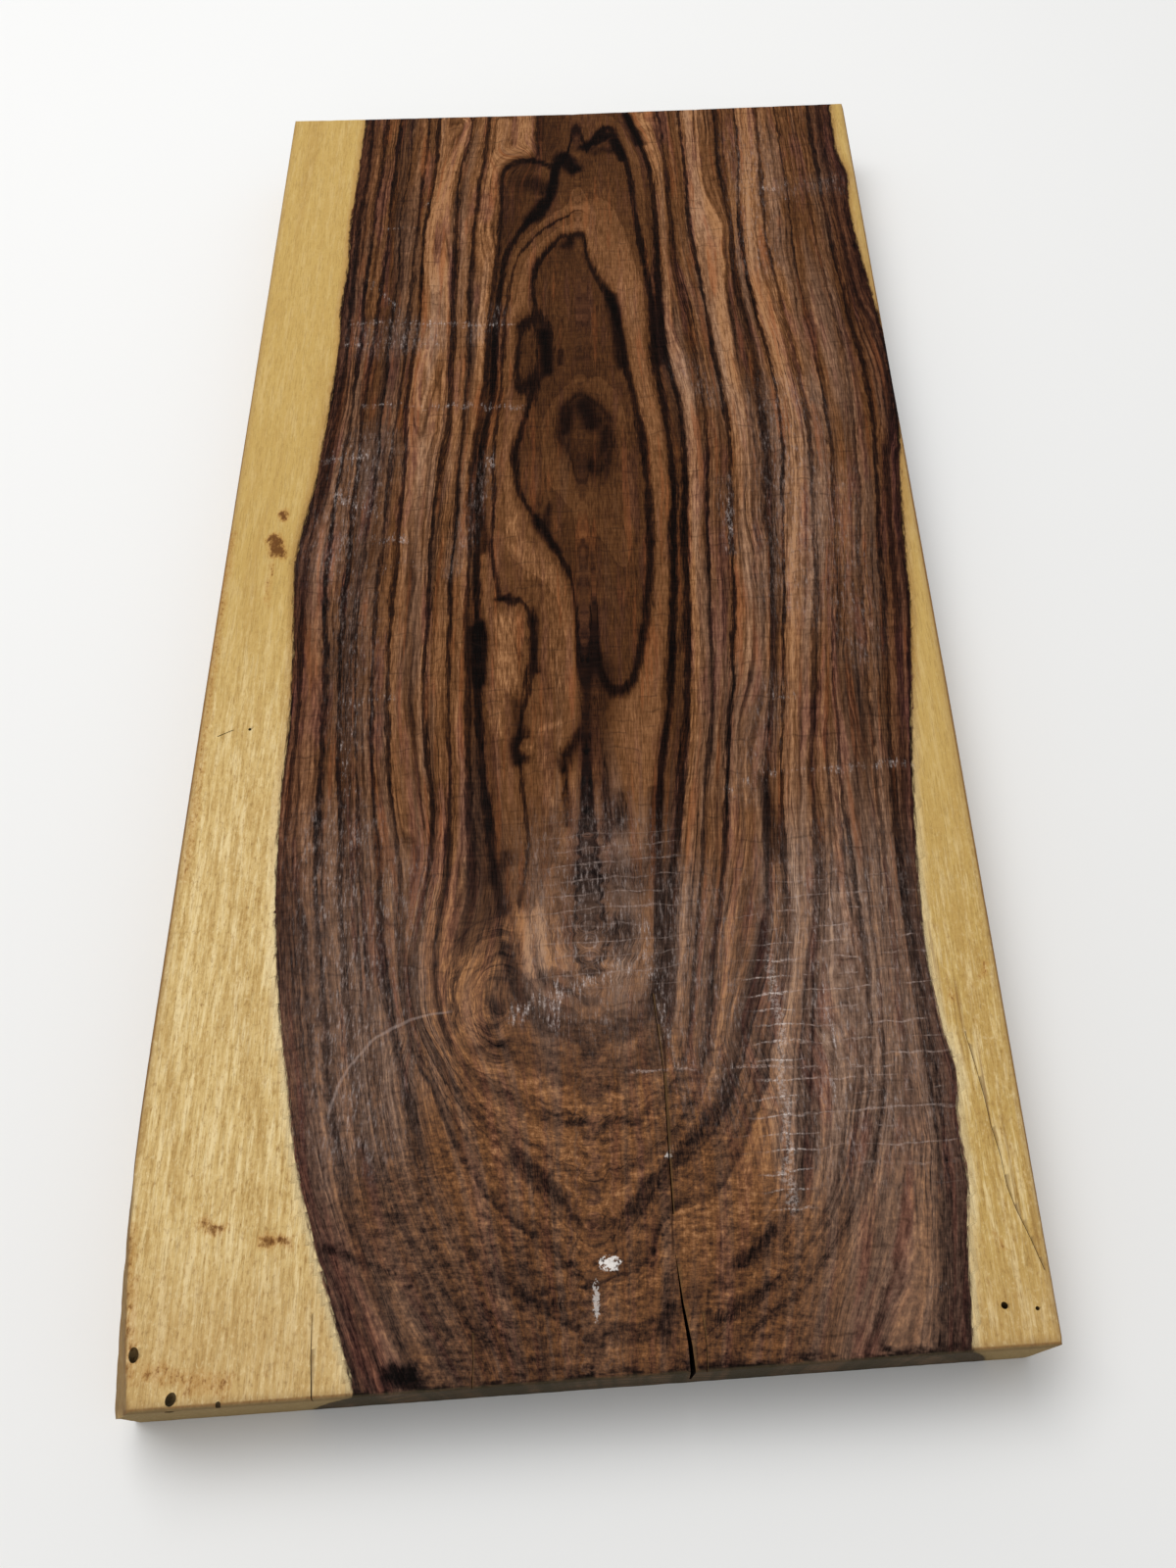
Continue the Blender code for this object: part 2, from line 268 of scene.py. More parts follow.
DARK_MARKS = marks(
    (-2, 374, 2, 368, 2.8), (-3.5, 371, -6, 352, 1.5), (-8, 350, -12, 343, 2.6), (5, 379, 14, 385, 1.9),
    (15.5, 382, 18, 373, 1.6), (8, 377, 14, 377, 2.2, 0.55), (20.5, 395, 24.5, 380, 1.5, 0.8),
    (-20, 370, -15, 372.5, 1.1, 0.8), (-15, 372.5, -6, 370, 1.1, 0.8), (-14, 361, -8, 358, 4.0, 0.5),
    (-8.6, 396, -9, 384, 1.0, 0.4), (-7.8, 291, -6.5, 274, 1.6, 0.85), (-3, 283, -3, 277, 0.9, 0.7),
    (13, 305, 15.5, 276, 1.9, 0.7), (26.3, 306, 27, 276, 1.6, 0.6), (-1, 259, -1.5, 250, 1.6, 0.6),
    (4, 260, 6, 252, 2.5, 0.7), (10, 250, 10, 242, 1.3, 0.6), (6, 238, 6, 235, 1.5, 0.6),
    (0, 331, -1, 329, 2.0, 0.6), (-25, 181, -24.3, 164, 2.2, 0.95), (-15, 157, -13.5, 141, 2.2, 0.8),
    (-10.2, 186, -9.5, 167, 1.2, 0.7), (-20, 190, -14, 190, 0.9, 0.8), (-10, 217, -4, 205, 1.5, 0.7),
    (-6.5, 222, -7, 214, 1.0, 0.6), (-25, 235, -24, 205, 1.0, 0.5), (7, 168, 6, 142, 3.6, 0.50),
    (1, 147, -3, 138, 2.3, 0.65), (-2.5, 138, -2, 122, 1.2, 0.55), (7, 140, 8, 118, 1.5, 0.55),
    (11, 129, 11, 121, 2.8, 0.55), (1, 108, 13, 108, 6.5, 0.45), (-20, 108, -16, 114, 2.2, 0.5),
    (17, 108, 20, 130, 2.0, 0.4), (46, 134, 48, 112, 1.8, 0.45), (43, 94, 39.5, 76, 1.9, 0.5),
    (39.5, 76, 36, 63, 2.0, 0.5), (36, 63, 31, 53, 2.3, 0.52), (31, 53, 21, 43, 2.8, 0.55),
    (18, 39, 11, 32, 2.2, 0.5), (-13, 43, -4, 34, 2.2, 0.5), (3, 29, 8, 29, 1.8, 0.4),
    (-46, 47, -38, 30, 1.6, 0.35), (40, 28, 33, 21, 1.8, 0.5), (18, 19, 17, 8, 2.2, 0.5),
    (-15, 20, -4, 13, 1.5, 0.45), (-52, 26, -46, 23.5, 0.9, 0.6), (-46, 23.5, -38, 20.5, 0.8, 0.5),
    (26, 10, 39, 17, 1.6, 0.4), (-37.5, 1.5, -33, 0.5, 1.8, 0.75), (-48, -0.5, -45.5, 1.5, 0.9, 0.6),
    (-1, 1, 2, 1, 0.9, 0.5), (18, 1.5, 21, 2, 0.9, 0.5), (42, 3.2, 46, 3.4, 0.7, 0.4),
    (60, 4.0, 75, 4.4, 0.8, 0.5), (12, 87, 14, 85, 1.5, 0.4), (-19, 92, -15, 90, 1.8, 0.4),
    (-2, 50, 13, 50, 0.8, 0.5), (-22, 72, -18, 68, 1.4, 0.35))
PALE_MARKS = marks(
    (-17, 184, -17.5, 150, 3.4, 0.45), (-6, 200, -3, 160, 4.0, 0.22), (-8, 149, -4, 151, 1.0, 0.5),
    (-7, 142, -6, 128, 1.8, 0.3), (-13, 100, -10.5, 84, 1.5, 0.8), (-8.6, 98, -6.8, 86, 1.4, 0.75),
    (-4.4, 97, -3, 85, 1.2, 0.6), (-16.5, 97, -15, 88, 1.1, 0.5), (0, 90, 15, 88, 5.0, 0.34),
    (-27, 88, -27, 76, 2.8, 0.4), (-12.5, 143.7, -11.5, 143.9, 0.9, 0.9), (-14, 207, -10, 200, 3.5, 0.3),
    (-16, 218, -16.5, 212, 1.8, 0.35), (-26.5, 310, -26.5, 280, 1.2, 0.25), (63.5, 140, 62, 90, 0.9, 0.35),
    (60, 72, 56.5, 45, 0.9, 0.3), (-15, 392, -14, 379, 3.0, 0.25), (8, 362, 12, 352, 4.5, 0.15),
    (-24, 86, -23, 72, 3.6, 0.75), (-19, 92, -20, 80, 3.0, 0.45), (38, 66, 37, 60, 1.6, 0.3),
    (8, 66, 14, 68, 3.5, 0.2))
TORN_MARKS = marks(
    (-8, 40, 12, 42, 24.0, 0.75), (-28, 30, 30, 22, 20.0, 0.75), (-15, 60, 12, 62, 12.0, 0.5),
    (-25, 5, 40, 6, 9.0, 0.7))
# Where glare is painted: the light's whitish grey reflection. It also cools the heartwood's colour and holds
# painted glints, and the face is a little less rough there.
PAINTED_GLARE_MARKS = marks(
    (-57, 120, -48, 50, 9.0, 0.7), (-42, 110, -42, 60, 7.0, 0.5), (60, 100, 61, 55, 16.0, 0.65),
    (25, 100, 30, 60, 9.0, 0.55), (5, 112, 5, 84, 14.0, 0.6), (-66, 205, -57, 245, 7.0, 0.6),
    (-55, 150, -58, 190, 6.0, 0.4), (-45, 290, -60, 290, 6.0, 0.6), (-5, 76, 14, 80, 5.0, 0.5),
    (43, 230, 43, 205, 2.0, 0.5), (62, 260, 60, 190, 9.0, 0.45), (75, 230, 74, 170, 5.0, 0.4),
    (60, 380, 60, 320, 7.0, 0.35), (-23, 240, -32, 200, 2.5, 0.5), (-22, 300, -28, 290, 3.0, 0.4),
    (50, 160, 42, 130, 4.0, 0.35), (34, 275, 41, 262, 4.0, 0.35), (64, 355, 88, 356, 4.0, 0.4))
# Where sheen is painted: streaks and specks of reflected light on the top face, which is also a little less
# rough there
SHEEN_MARKS = marks(
    (45, 135.5, 83, 136.5, 1.3, 0.75), (49, 157.5, 56, 157, 1.4, 0.8), (38, 130, 44, 133, 2.0, 0.6),
    (-67, 297.5, -18, 295, 1.2, 0.85), (-62, 262, -14, 260.2, 1.1, 0.8), (-68, 288, -40, 287, 1.0, 0.7),
    (-70, 241, -60, 243, 1.6, 0.8), (-66, 228, -55, 222, 2.0, 0.8), (-56, 211, -46, 212, 1.6, 0.8),
    (-62, 315, -52, 300, 2.0, 0.6), (-64, 340, -50, 341, 1.0, 0.6), (-60, 158.3, -46, 159, 0.9, 0.8),
    (-67, 246, -55, 243, 2.4, 0.55), (-65, 201, -40, 203, 2.2, 0.45), (-58, 149, -55, 130, 2.5, 0.5),
    (-14, 76, -3, 73, 2.2, 0.7), (-1, 80, 14, 87, 2.2, 0.75), (15, 96, 21, 62, 1.8, 0.7),
    (43.5, 222, 43.5, 210, 1.0, 0.9), (-24, 241, -22.5, 236, 1.2, 1.0), (64, 354.5, 72, 355, 1.2, 0.7),
    (70, 350, 75, 348, 1.0, 0.6), (70, 17, 73, 16.6, 0.8, 0.8), (-13, 75, -3, 79, 2.8, 0.9),
    (30, 61.5, 34, 61.2, 0.8, 0.8), (-47, 352, -42, 355, 1.6, 0.5), (19, 44, 20, 43, 0.8, 0.8),
    (55, 85, 54, 50, 1.0, 0.55), (57.8, 80, 55.5, 55, 0.6, 0.9), (-40, 168, -36, 164, 1.0, 0.3))
STAIN_MARKS = marks(
    (-82, 212, -80.5, 208, 2.3, 1.0), (-81, 223, -80, 220, 1.2, 0.9), (-82, 204, -81.5, 190, 1.0, 0.45),
    (-64.5, 27.0, -60, 26.2, 1.5, 0.8), (-78, 30.5, -74, 29.3, 1.5, 0.65),
    (-94, 215, -92.5, 110, 1.3, 0.42), (92, 84, 91, 82, 0.9, 0.6), (84.5, 26, 86, 24, 1.0, 0.5),
    (-85, 3, -70, 0, 2.0, 0.5), (83.5, 77, 84.2, 75, 1.0, 0.45), (-93, 30, -89, 2, 1.8, 0.5))

# How widely each kind of mark fades out, as a part of its half width, and the least fade in mm
DARK_SOFTNESS = 0.95
PALE_SOFTNESS = 0.9
TORN_SOFTNESS = 0.45
PAINTED_GLARE_SOFTNESS = 0.9
SHEEN_SOFTNESS = 0.7
STAIN_SOFTNESS = 0.8
LEAST_FADE = 0.5

# The blade's marks: their distance in mm and how much they slant, as rise over run
RIPPLE_PITCH = 3.9
SAW_SLANT = 0.05

# Lengths below these are taken as these, so that nothing is divided by 0
LEAST_SPAN = 1e-6
LEAST_STROKE = 1e-9


def smoothed(path: tuple[Point, ...], closed: bool = False, spacing: float = 0.7) -> np.ndarray:
    """A path's points joined by one smooth curve.

    Args:
        path: the points the curve passes through.
        closed: whether the curve ends where it starts.
        spacing: the distance between the points returned, in mm.

    Returns:
        Points along the curve, one row each.
    """
    given = np.asarray(path, float)
    if closed:
        ends = given[-2], given[1]
    else:
        ends = 2 * given[0] - given[1], 2 * given[-1] - given[-2]
    run = np.vstack([ends[0], given, ends[1]])
    pieces = []
    for before, start, end, after in zip(run[:-3], run[1:-2], run[2:-1], run[3:]):
        spans = [max(LEAST_SPAN, math.hypot(*(b - a))) ** 0.5
                 for a, b in ((before, start), (start, end), (end, after))]
        leave = (end - start) + spans[1] * ((start - before) / spans[0]
                                            - (end - before) / (spans[0] + spans[1]))
        arrive = (end - start) + spans[1] * ((after - end) / spans[2]
                                             - (after - start) / (spans[1] + spans[2]))
        count = max(2, math.ceil(math.hypot(*(end - start)) / spacing))
        t = (np.arange(count) / count)[:, None]
        pieces.append((2 * t**3 - 3 * t**2 + 1) * start + (t**3 - 2 * t**2 + t) * leave
                      + (3 * t**2 - 2 * t**3) * end + (t**3 - t**2) * arrive)
    return np.concatenate(pieces)


def smooth_step(value: np.ndarray, low: float, high: float) -> np.ndarray:
    """Rise smoothly from 0 at low to 1 at high."""
    t = np.clip((value - low) / (high - low), 0.0, 1.0)
    return t * t * (3 - 2 * t)


def window(value: np.ndarray, rise: Point, fall: Point) -> np.ndarray:
    """Rise smoothly from 0 to 1 over one range, and fall back over another."""
    return smooth_step(value, *rise) * (1 - smooth_step(value, *fall))


class SmoothField:
    """A value spread over the board that bends as little as it can through the values given.

    It is a cubic spline over a square lattice, and conjugate gradients find its control values.
    """

    SPACING = 2.0
    LOWEST = (-101.0, -13.0)
    COLUMNS = 102
    ROWS = 212
    MEMBRANE = 0.02
    PLATE = 0.2
    STEPS = 400
    CLOSE_ENOUGH = 0.001

    def __init__(self, points: np.ndarray, values: np.ndarray) -> None:
        """Fit the field.

        Args:
            points: places on the board, in mm.
            values: the field's value at each of them.
        """
        places, weights = self._weights(points)
        flat = places.ravel()
        size = self.ROWS * self.COLUMNS

        def pulled(control: np.ndarray) -> np.ndarray:
            """The pull of the values given and of the field's own stiffness.

            Args:
                control: the control values.

            Returns:
                The pull on each control value.
            """
            there = (control[places] * weights).sum(1)
            given = np.bincount(flat, (weights * there[:, None]).ravel(), size)
            return given + self._stiffness(control)

        weight_squares = np.bincount(flat, (weights * weights).ravel(), size)
        scale = weight_squares + 4 * self.MEMBRANE + 12 * self.PLATE
        self.control = np.full(size, float(values.mean()))
        rest = np.bincount(flat, (weights * values[:, None]).ravel(), size) - pulled(self.control)
        eased = rest / scale
        heading = eased.copy()
        size_now = rest @ eased
        for _ in range(self.STEPS):
            pull = pulled(heading)
            stride = size_now / (heading @ pull)
            self.control += stride * heading
            rest -= stride * pull
            eased = rest / scale
            size_next = rest @ eased
            if math.sqrt(size_next) < self.CLOSE_ENOUGH:
                break
            heading = eased + size_next / size_now * heading
            size_now = size_next

    def _weights(self, points: np.ndarray) -> tuple[np.ndarray, np.ndarray]:
        """Which control values each point depends on, and how much.

        Args:
            points: places on the board, in mm.

        Returns:
            The sixteen control values around each point, and their weights.
        """
        across = np.clip((points[:, 0] - self.LOWEST[0]) / self.SPACING, 1, self.COLUMNS - 2.001)
        along = np.clip((points[:, 1] - self.LOWEST[1]) / self.SPACING, 1, self.ROWS - 2.001)
        column, row = np.floor(across).astype(int), np.floor(along).astype(int)

        def spline(t: np.ndarray) -> np.ndarray:
            """The four weights of a uniform cubic spline."""
            return np.stack([(1 - t) ** 3, 3 * t**3 - 6 * t**2 + 4,
                             -3 * t**3 + 3 * t**2 + 3 * t + 1, t**3], -1) / 6

        reach = np.arange(-1, 3)
        places = (row[:, None, None] + reach[None, :, None]) * self.COLUMNS + column[:, None, None] + reach
        weights = spline(along - row)[:, :, None] * spline(across - column)[:, None, :]
        return places.reshape(len(points), 16), weights.reshape(len(points), 16)

    def _stiffness(self, control: np.ndarray) -> np.ndarray:
        """The field's resistance to being stretched and bent.

        Args:
            control: the control values.

        Returns:
            The force on each control value.
        """
        sheet = control.reshape(self.ROWS, self.COLUMNS)
        force = np.zeros_like(sheet)
        for values, result in ((sheet, force), (sheet.T, force.T)):
            step = self.MEMBRANE * np.diff(values, axis=0)
            result[1:] += step
            result[:-1] -= step
            bend = self.PLATE * (values[2:] - 2 * values[1:-1] + values[:-2])
            result[2:] += bend
            result[1:-1] -= 2 * bend
            result[:-2] += bend
        return force.ravel()

    def at(self, points: np.ndarray) -> np.ndarray:
        """The field's value at points on the board."""
        places, weights = self._weights(points)
        return (self.control[places] * weights).sum(1)

    def slope(self, points: np.ndarray, reach: float = 0.6) -> np.ndarray:
        """How fast the field changes.

        Args:
            points: places on the board, in mm.
            reach: how far to both sides of each place it is read, in mm.

        Returns:
            The steepest slope at each place, in units a mm.
        """
        across = np.array([reach, 0.0])
        along = np.array([0.0, reach])
        run = self.at(points + across) - self.at(points - across)
        rise = self.at(points + along) - self.at(points - along)
        return np.hypot(run, rise) / (2 * reach)


@dataclass
class Figure:
    """The growth rings, fibres and marks of the wood, as values at places in the board."""

    pith_x: float = 3.0
    pith_depth: float = 33.0
    drift: float = 0.5
    inner_ring_pitch: float = 0.5
    sap_ring_pitch: float = 1.1
    middle_y: float = 250.0
    flow_stops: float = 40.0
    sap_distances: tuple[float, ...] = (5.0, 12.0, 20.0, 30.0)
    inner_flow_stops: float = 70.0
    run_out_ring: float = 79.0
    run_out_y: float = -20.0
    flow_gap: float = 15.0
    fewest_points: int = 20
    middle_fibres: tuple[float, ...] = (-8.0, 4.0, 14.0)
    middle_stops: tuple[float, ...] = (402.0, 250.0, 90.0)
    lowest_fibre: float = 4.0
    lowest_stops: tuple[float, ...] = (90.0, 40.0, -10.0)
    field_run: Point = (-9.0, 405.0)
    least_ring: float = 1.0
    least_pitch: float = 0.25
    most_pitch: float = 4.0
    fibre_margin: float = 0.6
    mark_depths: Point = (1.2, 3.5)
    raggedness: Point = (0.7, 1.8)
    ragged_cell: Point = (2.4, 5.5)
    ragged_plane: float = 0.7
    ragged_seed: int = 7

    def __post_init__(self) -> None:
        """Fit the ring and fibre fields to the guides."""
        self.rings = self._ring_field()
        self.flow = self._flow_field()
        self.edges = {Side.LEFT: self._edge(LEFT_HEART_EDGE), Side.RIGHT: self._edge(RIGHT_HEART_EDGE)}

    def _ring_field(self) -> SmoothField:
        """The ring value all over the top face.

        Returns:
            The field, which is 0 in the eye and counts outwards.
        """
        points, values = [], []
        for guide in GUIDES:
            curve = smoothed(guide.path, guide.closed)
            points.append(curve)
            values.append(np.full(len(curve), guide.ring))
        for edge, outwards in ((LEFT_HEART_EDGE, -1), (RIGHT_HEART_EDGE, 1)):
            for distance in self.sap_distances:
                curve = smoothed(edge.path)[::2] + (outwards * distance, 0.0)
                points.append(curve)
                values.append(np.full(len(curve), HEART_RING + self.sap_ring_pitch * distance))
        points.append(np.array([EYE_MIDDLE]))
        values.append(np.zeros(1))
        middle = smoothed(PLAIN_MIDDLE.path)
        points.append(middle)
        values.append(np.full(len(middle), float(PLAIN_MIDDLE.ring)))
        return SmoothField(np.concatenate(points), np.concatenate(values))

    def _flow_field(self) -> SmoothField:
        """A value that stays the same along each fibre and counts mm across them at mid board.

        Returns:
            The field.
        """
        points, values = [], []
        for guide in GUIDES:
            if guide.ring < SECOND_PEAK.ring:
                continue
            curve = smoothed(guide.path)
            lowest = self.flow_stops if guide.ring > FIFTH_CUP.ring else self.inner_flow_stops
            if guide.ring >= self.run_out_ring:
                lowest = self.run_out_y
            for half in (curve[curve[:, 0] < -self.flow_gap], curve[curve[:, 0] > self.flow_gap]):
                half = half[half[:, 1] > lowest]
                if len(half) < self.fewest_points:
                    continue
                middle = half[np.abs(half[:, 1] - self.middle_y).argmin(), 0]
                points.append(half)
                values.append(np.full(len(half), middle))
        runs = [(x, self.middle_stops) for x in self.middle_fibres]
        for x, stops in (*runs, (self.lowest_fibre, self.lowest_stops)):
            line = smoothed(tuple((x, y) for y in stops))
            points.append(line)
            values.append(np.full(len(line), x))
        return SmoothField(np.concatenate(points), np.concatenate(values))

    @staticmethod
    def _edge(guide: Guide) -> np.ndarray:
        """The line between sapwood and heartwood, ordered along the board."""
        curve = smoothed(guide.path)
        return curve[np.argsort(curve[:, 1])]

    def _at_surface(self, x: np.ndarray, y: np.ndarray, depth: np.ndarray) -> tuple[np.ndarray, np.ndarray]:
        """Where the ring through each place meets the top face.

        The rings are round about a pith below the board, so they reach the face closer in.

        Args:
            x: places across the board, in mm.
            y: places along it, in mm.
            depth: their depths below the top face, in mm.

        Returns:
            Points on the top face, and how far inside the innermost ring there each place is.
        """
        reach = (x - self.pith_x) ** 2 - 2 * self.pith_depth * depth + depth**2
        shifted = self.pith_x + np.sign(x - self.pith_x) * np.sqrt(np.maximum(reach, 0.0))
        inside = np.sqrt(np.maximum(-reach, 0.0))
        along = np.clip(y + self.drift * depth, *self.field_run)
        return np.column_stack([shifted, along]), inside

    def heart_depth(self, surface: np.ndarray) -> np.ndarray:
        """How far inside the heartwood points are.

        Args:
            surface: places on the top face, in mm.

        Returns:
            Each place's distance from the sapwood, in mm, below 0 in the sapwood itself.
        """
        stride = 2.0
        gaps = []
        for side, sign in ((Side.LEFT, 1), (Side.RIGHT, -1)):
            edge = self.edges[side]
            line = np.interp(surface[:, 1], edge[:, 1], edge[:, 0])
            ahead = np.interp(surface[:, 1] + stride, edge[:, 1], edge[:, 0])
            lean = np.hypot(1, (ahead - line) / stride)
            gaps.append(sign * (surface[:, 0] - line) / lean)
        return np.minimum(*gaps)

    @staticmethod
    def marked(marks: tuple[Mark, ...], points: np.ndarray, softness: float) -> np.ndarray:
        """How strongly each point is covered by a set of marks.

        Args:
            marks: the strokes.
            points: places on the top face, in mm.
            softness: the width over which a mark fades out, as a part of its own half width.

        Returns:
            The strongest mark's cover at each point.
        """
        cover = np.zeros(len(points))
        for mark in marks:
            start, end = np.array(mark.start, float), np.array(mark.end, float)
            stroke = end - start
            t = np.clip((points - start) @ stroke / max(LEAST_STROKE, stroke @ stroke), 0, 1)
            gap = np.hypot(*(points - start - t[:, None] * stroke).T)
            fade = max(LEAST_FADE, softness * mark.half_width)
            inside = 1 - smooth_step(gap, mark.half_width - fade, mark.half_width + fade)
            cover = np.maximum(cover, mark.strength * inside)
        return cover

    def values(self, x: np.ndarray, y: np.ndarray, depth: np.ndarray) -> dict[Attribute, np.ndarray]:
        """Everything the finish has to know at places in the board.

        Args:
            x: places across the board, in mm.
            y: places along it, in mm.
            depth: their depths below the top face, in mm.

        Returns:
            One array for each attribute that the figure gives.
        """
        surface, inside = self._at_surface(x, y, depth)
        here = np.column_stack([x, y])
        noise.seed_set(self.ragged_seed)
        cells = here / self.ragged_cell
        jitter = [noise.noise_vector((across, along, self.ragged_plane)).xy for across, along in cells]
        ragged = here + np.array(jitter) * self.raggedness
        on_top = 1 - smooth_step(depth, *self.mark_depths)
        heart = self.heart_depth(surface)
        ring = self.rings.at(surface)
        inner = np.maximum(self.least_ring, ring - self.inner_ring_pitch * inside)
        in_heart = heart > -self.fibre_margin
        dark = self.marked(DARK_MARKS, ragged, DARK_SOFTNESS)
        pale = self.marked(PALE_MARKS, ragged, PALE_SOFTNESS)
        return {
            Attribute.RING: np.where(inside > 0, inner, ring),
            Attribute.PITCH: np.clip(self.rings.slope(surface), self.least_pitch, self.most_pitch),
            Attribute.FLOW: np.where(in_heart, self.flow.at(surface) + inside, surface[:, 0]),
            Attribute.HEART: heart,
            Attribute.SHADE: on_top * (dark - pale),
            Attribute.TORN: on_top * self.marked(TORN_MARKS, here, TORN_SOFTNESS),
            # The glare and sheen values say where painted glare and painted sheen go
            Attribute.HAZE: on_top * self.marked(PAINTED_GLARE_MARKS, here, PAINTED_GLARE_SOFTNESS),
            Attribute.SHEEN: on_top * self.marked(SHEEN_MARKS, ragged, SHEEN_SOFTNESS),
            Attribute.STAIN: on_top * self.marked(STAIN_MARKS, ragged, STAIN_SOFTNESS),
        }


@dataclass(frozen=True)
class Waves:
    """Random unevenness over a face: its waves' size both ways in mm, its seed and its height."""

    across: float
    along: float
    seed: float
    height: float = 1.0

    def at(self, first: float, second: float) -> float:
        """How far the face is from its middle at a place, in mm."""
        return self.height * noise.noise((first / self.across, second / self.along, self.seed))


SLOW_WAVES = Waves(38, 70, 0.3, 0.10)
LONG_TEARS = Waves(5.5, 1.5, 2.0)
SHORT_TEARS = Waves(3, 0.9, 5.0, 0.5)
SIDE_NICKS = Waves(2.6, 14, 7.0, 0.08)
SIDE_TEARS = Waves(23, 9, 3.0, 0.12)
END_NICKS = Waves(3.1, 2.1, 11.0, 0.06)
END_TEARS = Waves(4.2, 30, 4.0, 0.25)


@dataclass
class SawnBoard:
    """The board's solid form: sawn faces, worn arrises, wane, checks and insect holes."""

    length: float = 403.5
    width: float = 190.0
    thickness: float = 24.0
    run_out: float = 9.5
    far_hollow: float = 1.1
    arris: float = 0.9
    columns: int = 180
    fine_rows: int = 138
    fine_run: float = 118.0
    coarse_rows: int = 188
    side_rows: int = 11
    under_columns: int = 62
    under_rows: int = 132
    under_inset: float = 2.6
    wane_width: float = 6.8
    wane_depth: float = 12.2
    wane_run: float = 85.0
    wane_power: float = 2.4
    wane_ease: float = 0.5
    wane_end: float = 0.05
    far_hollow_power: int = 6
    left_taper: float = 0.7
    right_tapers: tuple[float, float] = (0.4, 0.3)
    widest_left: float = 171.75
    widest_right: float = 156.75
    corner_wear: float = 0.35
    corner_run: float = 1.0
    upper_turns: tuple[int, ...] = (25, 50, 75, 90)
    lower_turns: tuple[int, ...] = (60, 30, 0)
    same_line: float = 0.01
    sharp_angle: float = 38.0
    top_skin: Point = (1.3, 0.3)
    side_skin: Point = (1.2, 0.4)
    end_skin: Point = (0.3, 1.2)
    far_end_wear: float = 1.8
    least_torn: float = 0.02
    torn_depth: float = 0.16
    torn_share: float = 0.3
    end_tear_start: float = 0.03
    ripple_height: float = 0.09

    @property
    def far_y(self) -> float:
        """Where the far end lies, in mm from the middle of the near end."""
        return self.length - self.run_out / 2

    def build(self) -> bpy.types.Object:
        """Make the board as one closed mesh object.

        Returns:
            The object, at the origin, with its place in its mesh.
        """
        shape = self._blank()
        mesh = bpy.data.meshes.new("kingwood_board")
        shape.to_mesh(mesh)
        shape.free()
        self._fit_outline(mesh)
        board = bpy.data.objects.new("kingwood_board", mesh)
        bpy.context.scene.collection.objects.link(board)
        self._cut(board)
        self._relief(board.data)
        board.data.shade_smooth()
        board.data.set_sharp_from_angle(angle=math.radians(self.sharp_angle))
        return board

    def _row_place(self, share: float) -> float:
        """Where a row of the top face lies along the board.

        Args:
            share: its place in the order of rows, from 0 to 1.

        Returns:
            Its distance from the near end, in mm.
        """
        rows = self.fine_rows + self.coarse_rows
        row = share * rows
        start, end = self.arris, self.length - self.arris
        fine_end = start + self.fine_run
        if row <= self.fine_rows:
            return start + self.fine_run * row / self.fine_rows
        return fine_end + (end - fine_end) * (row - self.fine_rows) / self.coarse_rows

    def _blank(self) -> bmesh.types.BMesh:
        """A square-cut board with rounded arrises, in mm, with x in the middle and y from 0.

        Returns:
            The closed mesh.
        """
        shape = bmesh.new()
        rows = self.fine_rows + self.coarse_rows
        bmesh.ops.create_grid(shape, x_segments=self.columns, y_segments=rows, size=0.5)
        inner = self.width - 2 * self.arris
        for vertex in shape.verts:
            vertex.co = (vertex.co.x * inner, self._row_place(vertex.co.y + 0.5), self.thickness)
        rim = [edge for edge in shape.edges if edge.is_boundary]
        outset = 0.0
        for next_outset, next_depth in self._wall_steps():
            made = bmesh.ops.extrude_edge_only(shape, edges=rim)["geom"]
            rim = [part for part in made if isinstance(part, bmesh.types.BMEdge) and part.is_boundary]
            half = self.width / 2 - self.arris + outset
            low, high = self.arris - outset, self.length - self.arris + outset
            step = next_outset - outset
            for vertex in {vertex for edge in rim for vertex in edge.verts}:
                x, y = vertex.co.x, vertex.co.y
                if abs(abs(x) - half) < self.same_line:
                    vertex.co.x += step if x > 0 else -step
                if y - low < self.same_line:
                    vertex.co.y -= step
                if high - y < self.same_line:
                    vertex.co.y += step
                vertex.co.z = self.thickness - next_depth
            outset = next_outset
        under = bmesh.new()
        bmesh.ops.create_grid(under, x_segments=self.under_columns, y_segments=self.under_rows, size=0.5)
        for vertex in under.verts:
            vertex.co = (vertex.co.x * (self.width - 2 * self.under_inset),
                         self.length / 2 + vertex.co.y * (self.length - 2 * self.under_inset), 0.0)
        absorb(shape, under)
        lip = [edge for edge in shape.edges if edge.is_boundary]
        bmesh.ops.bridge_loops(shape, edges=lip)
        bmesh.ops.recalc_face_normals(shape, faces=shape.faces)
        return shape

    def _wall_steps(self) -> list[tuple[float, float]]:
        """How far out and how deep each row of the walls is, from the top face to the underside.

        Returns:
            Pairs of outset and depth, in mm.
        """
        steps = []
        for turn in self.upper_turns:
            angle = math.radians(turn)
            steps.append((self.arris * math.sin(angle), self.arris * (1 - math.cos(angle))))
        wall = self.thickness - 2 * self.arris
        for row in range(1, self.side_rows + 1):
            steps.append((self.arris, self.arris + wall * row / self.side_rows))
        for turn in self.lower_turns:
            angle = math.radians(turn)
            steps.append((self.arris * math.sin(angle), self.thickness - self.arris * (1 - math.cos(angle))))
        return steps

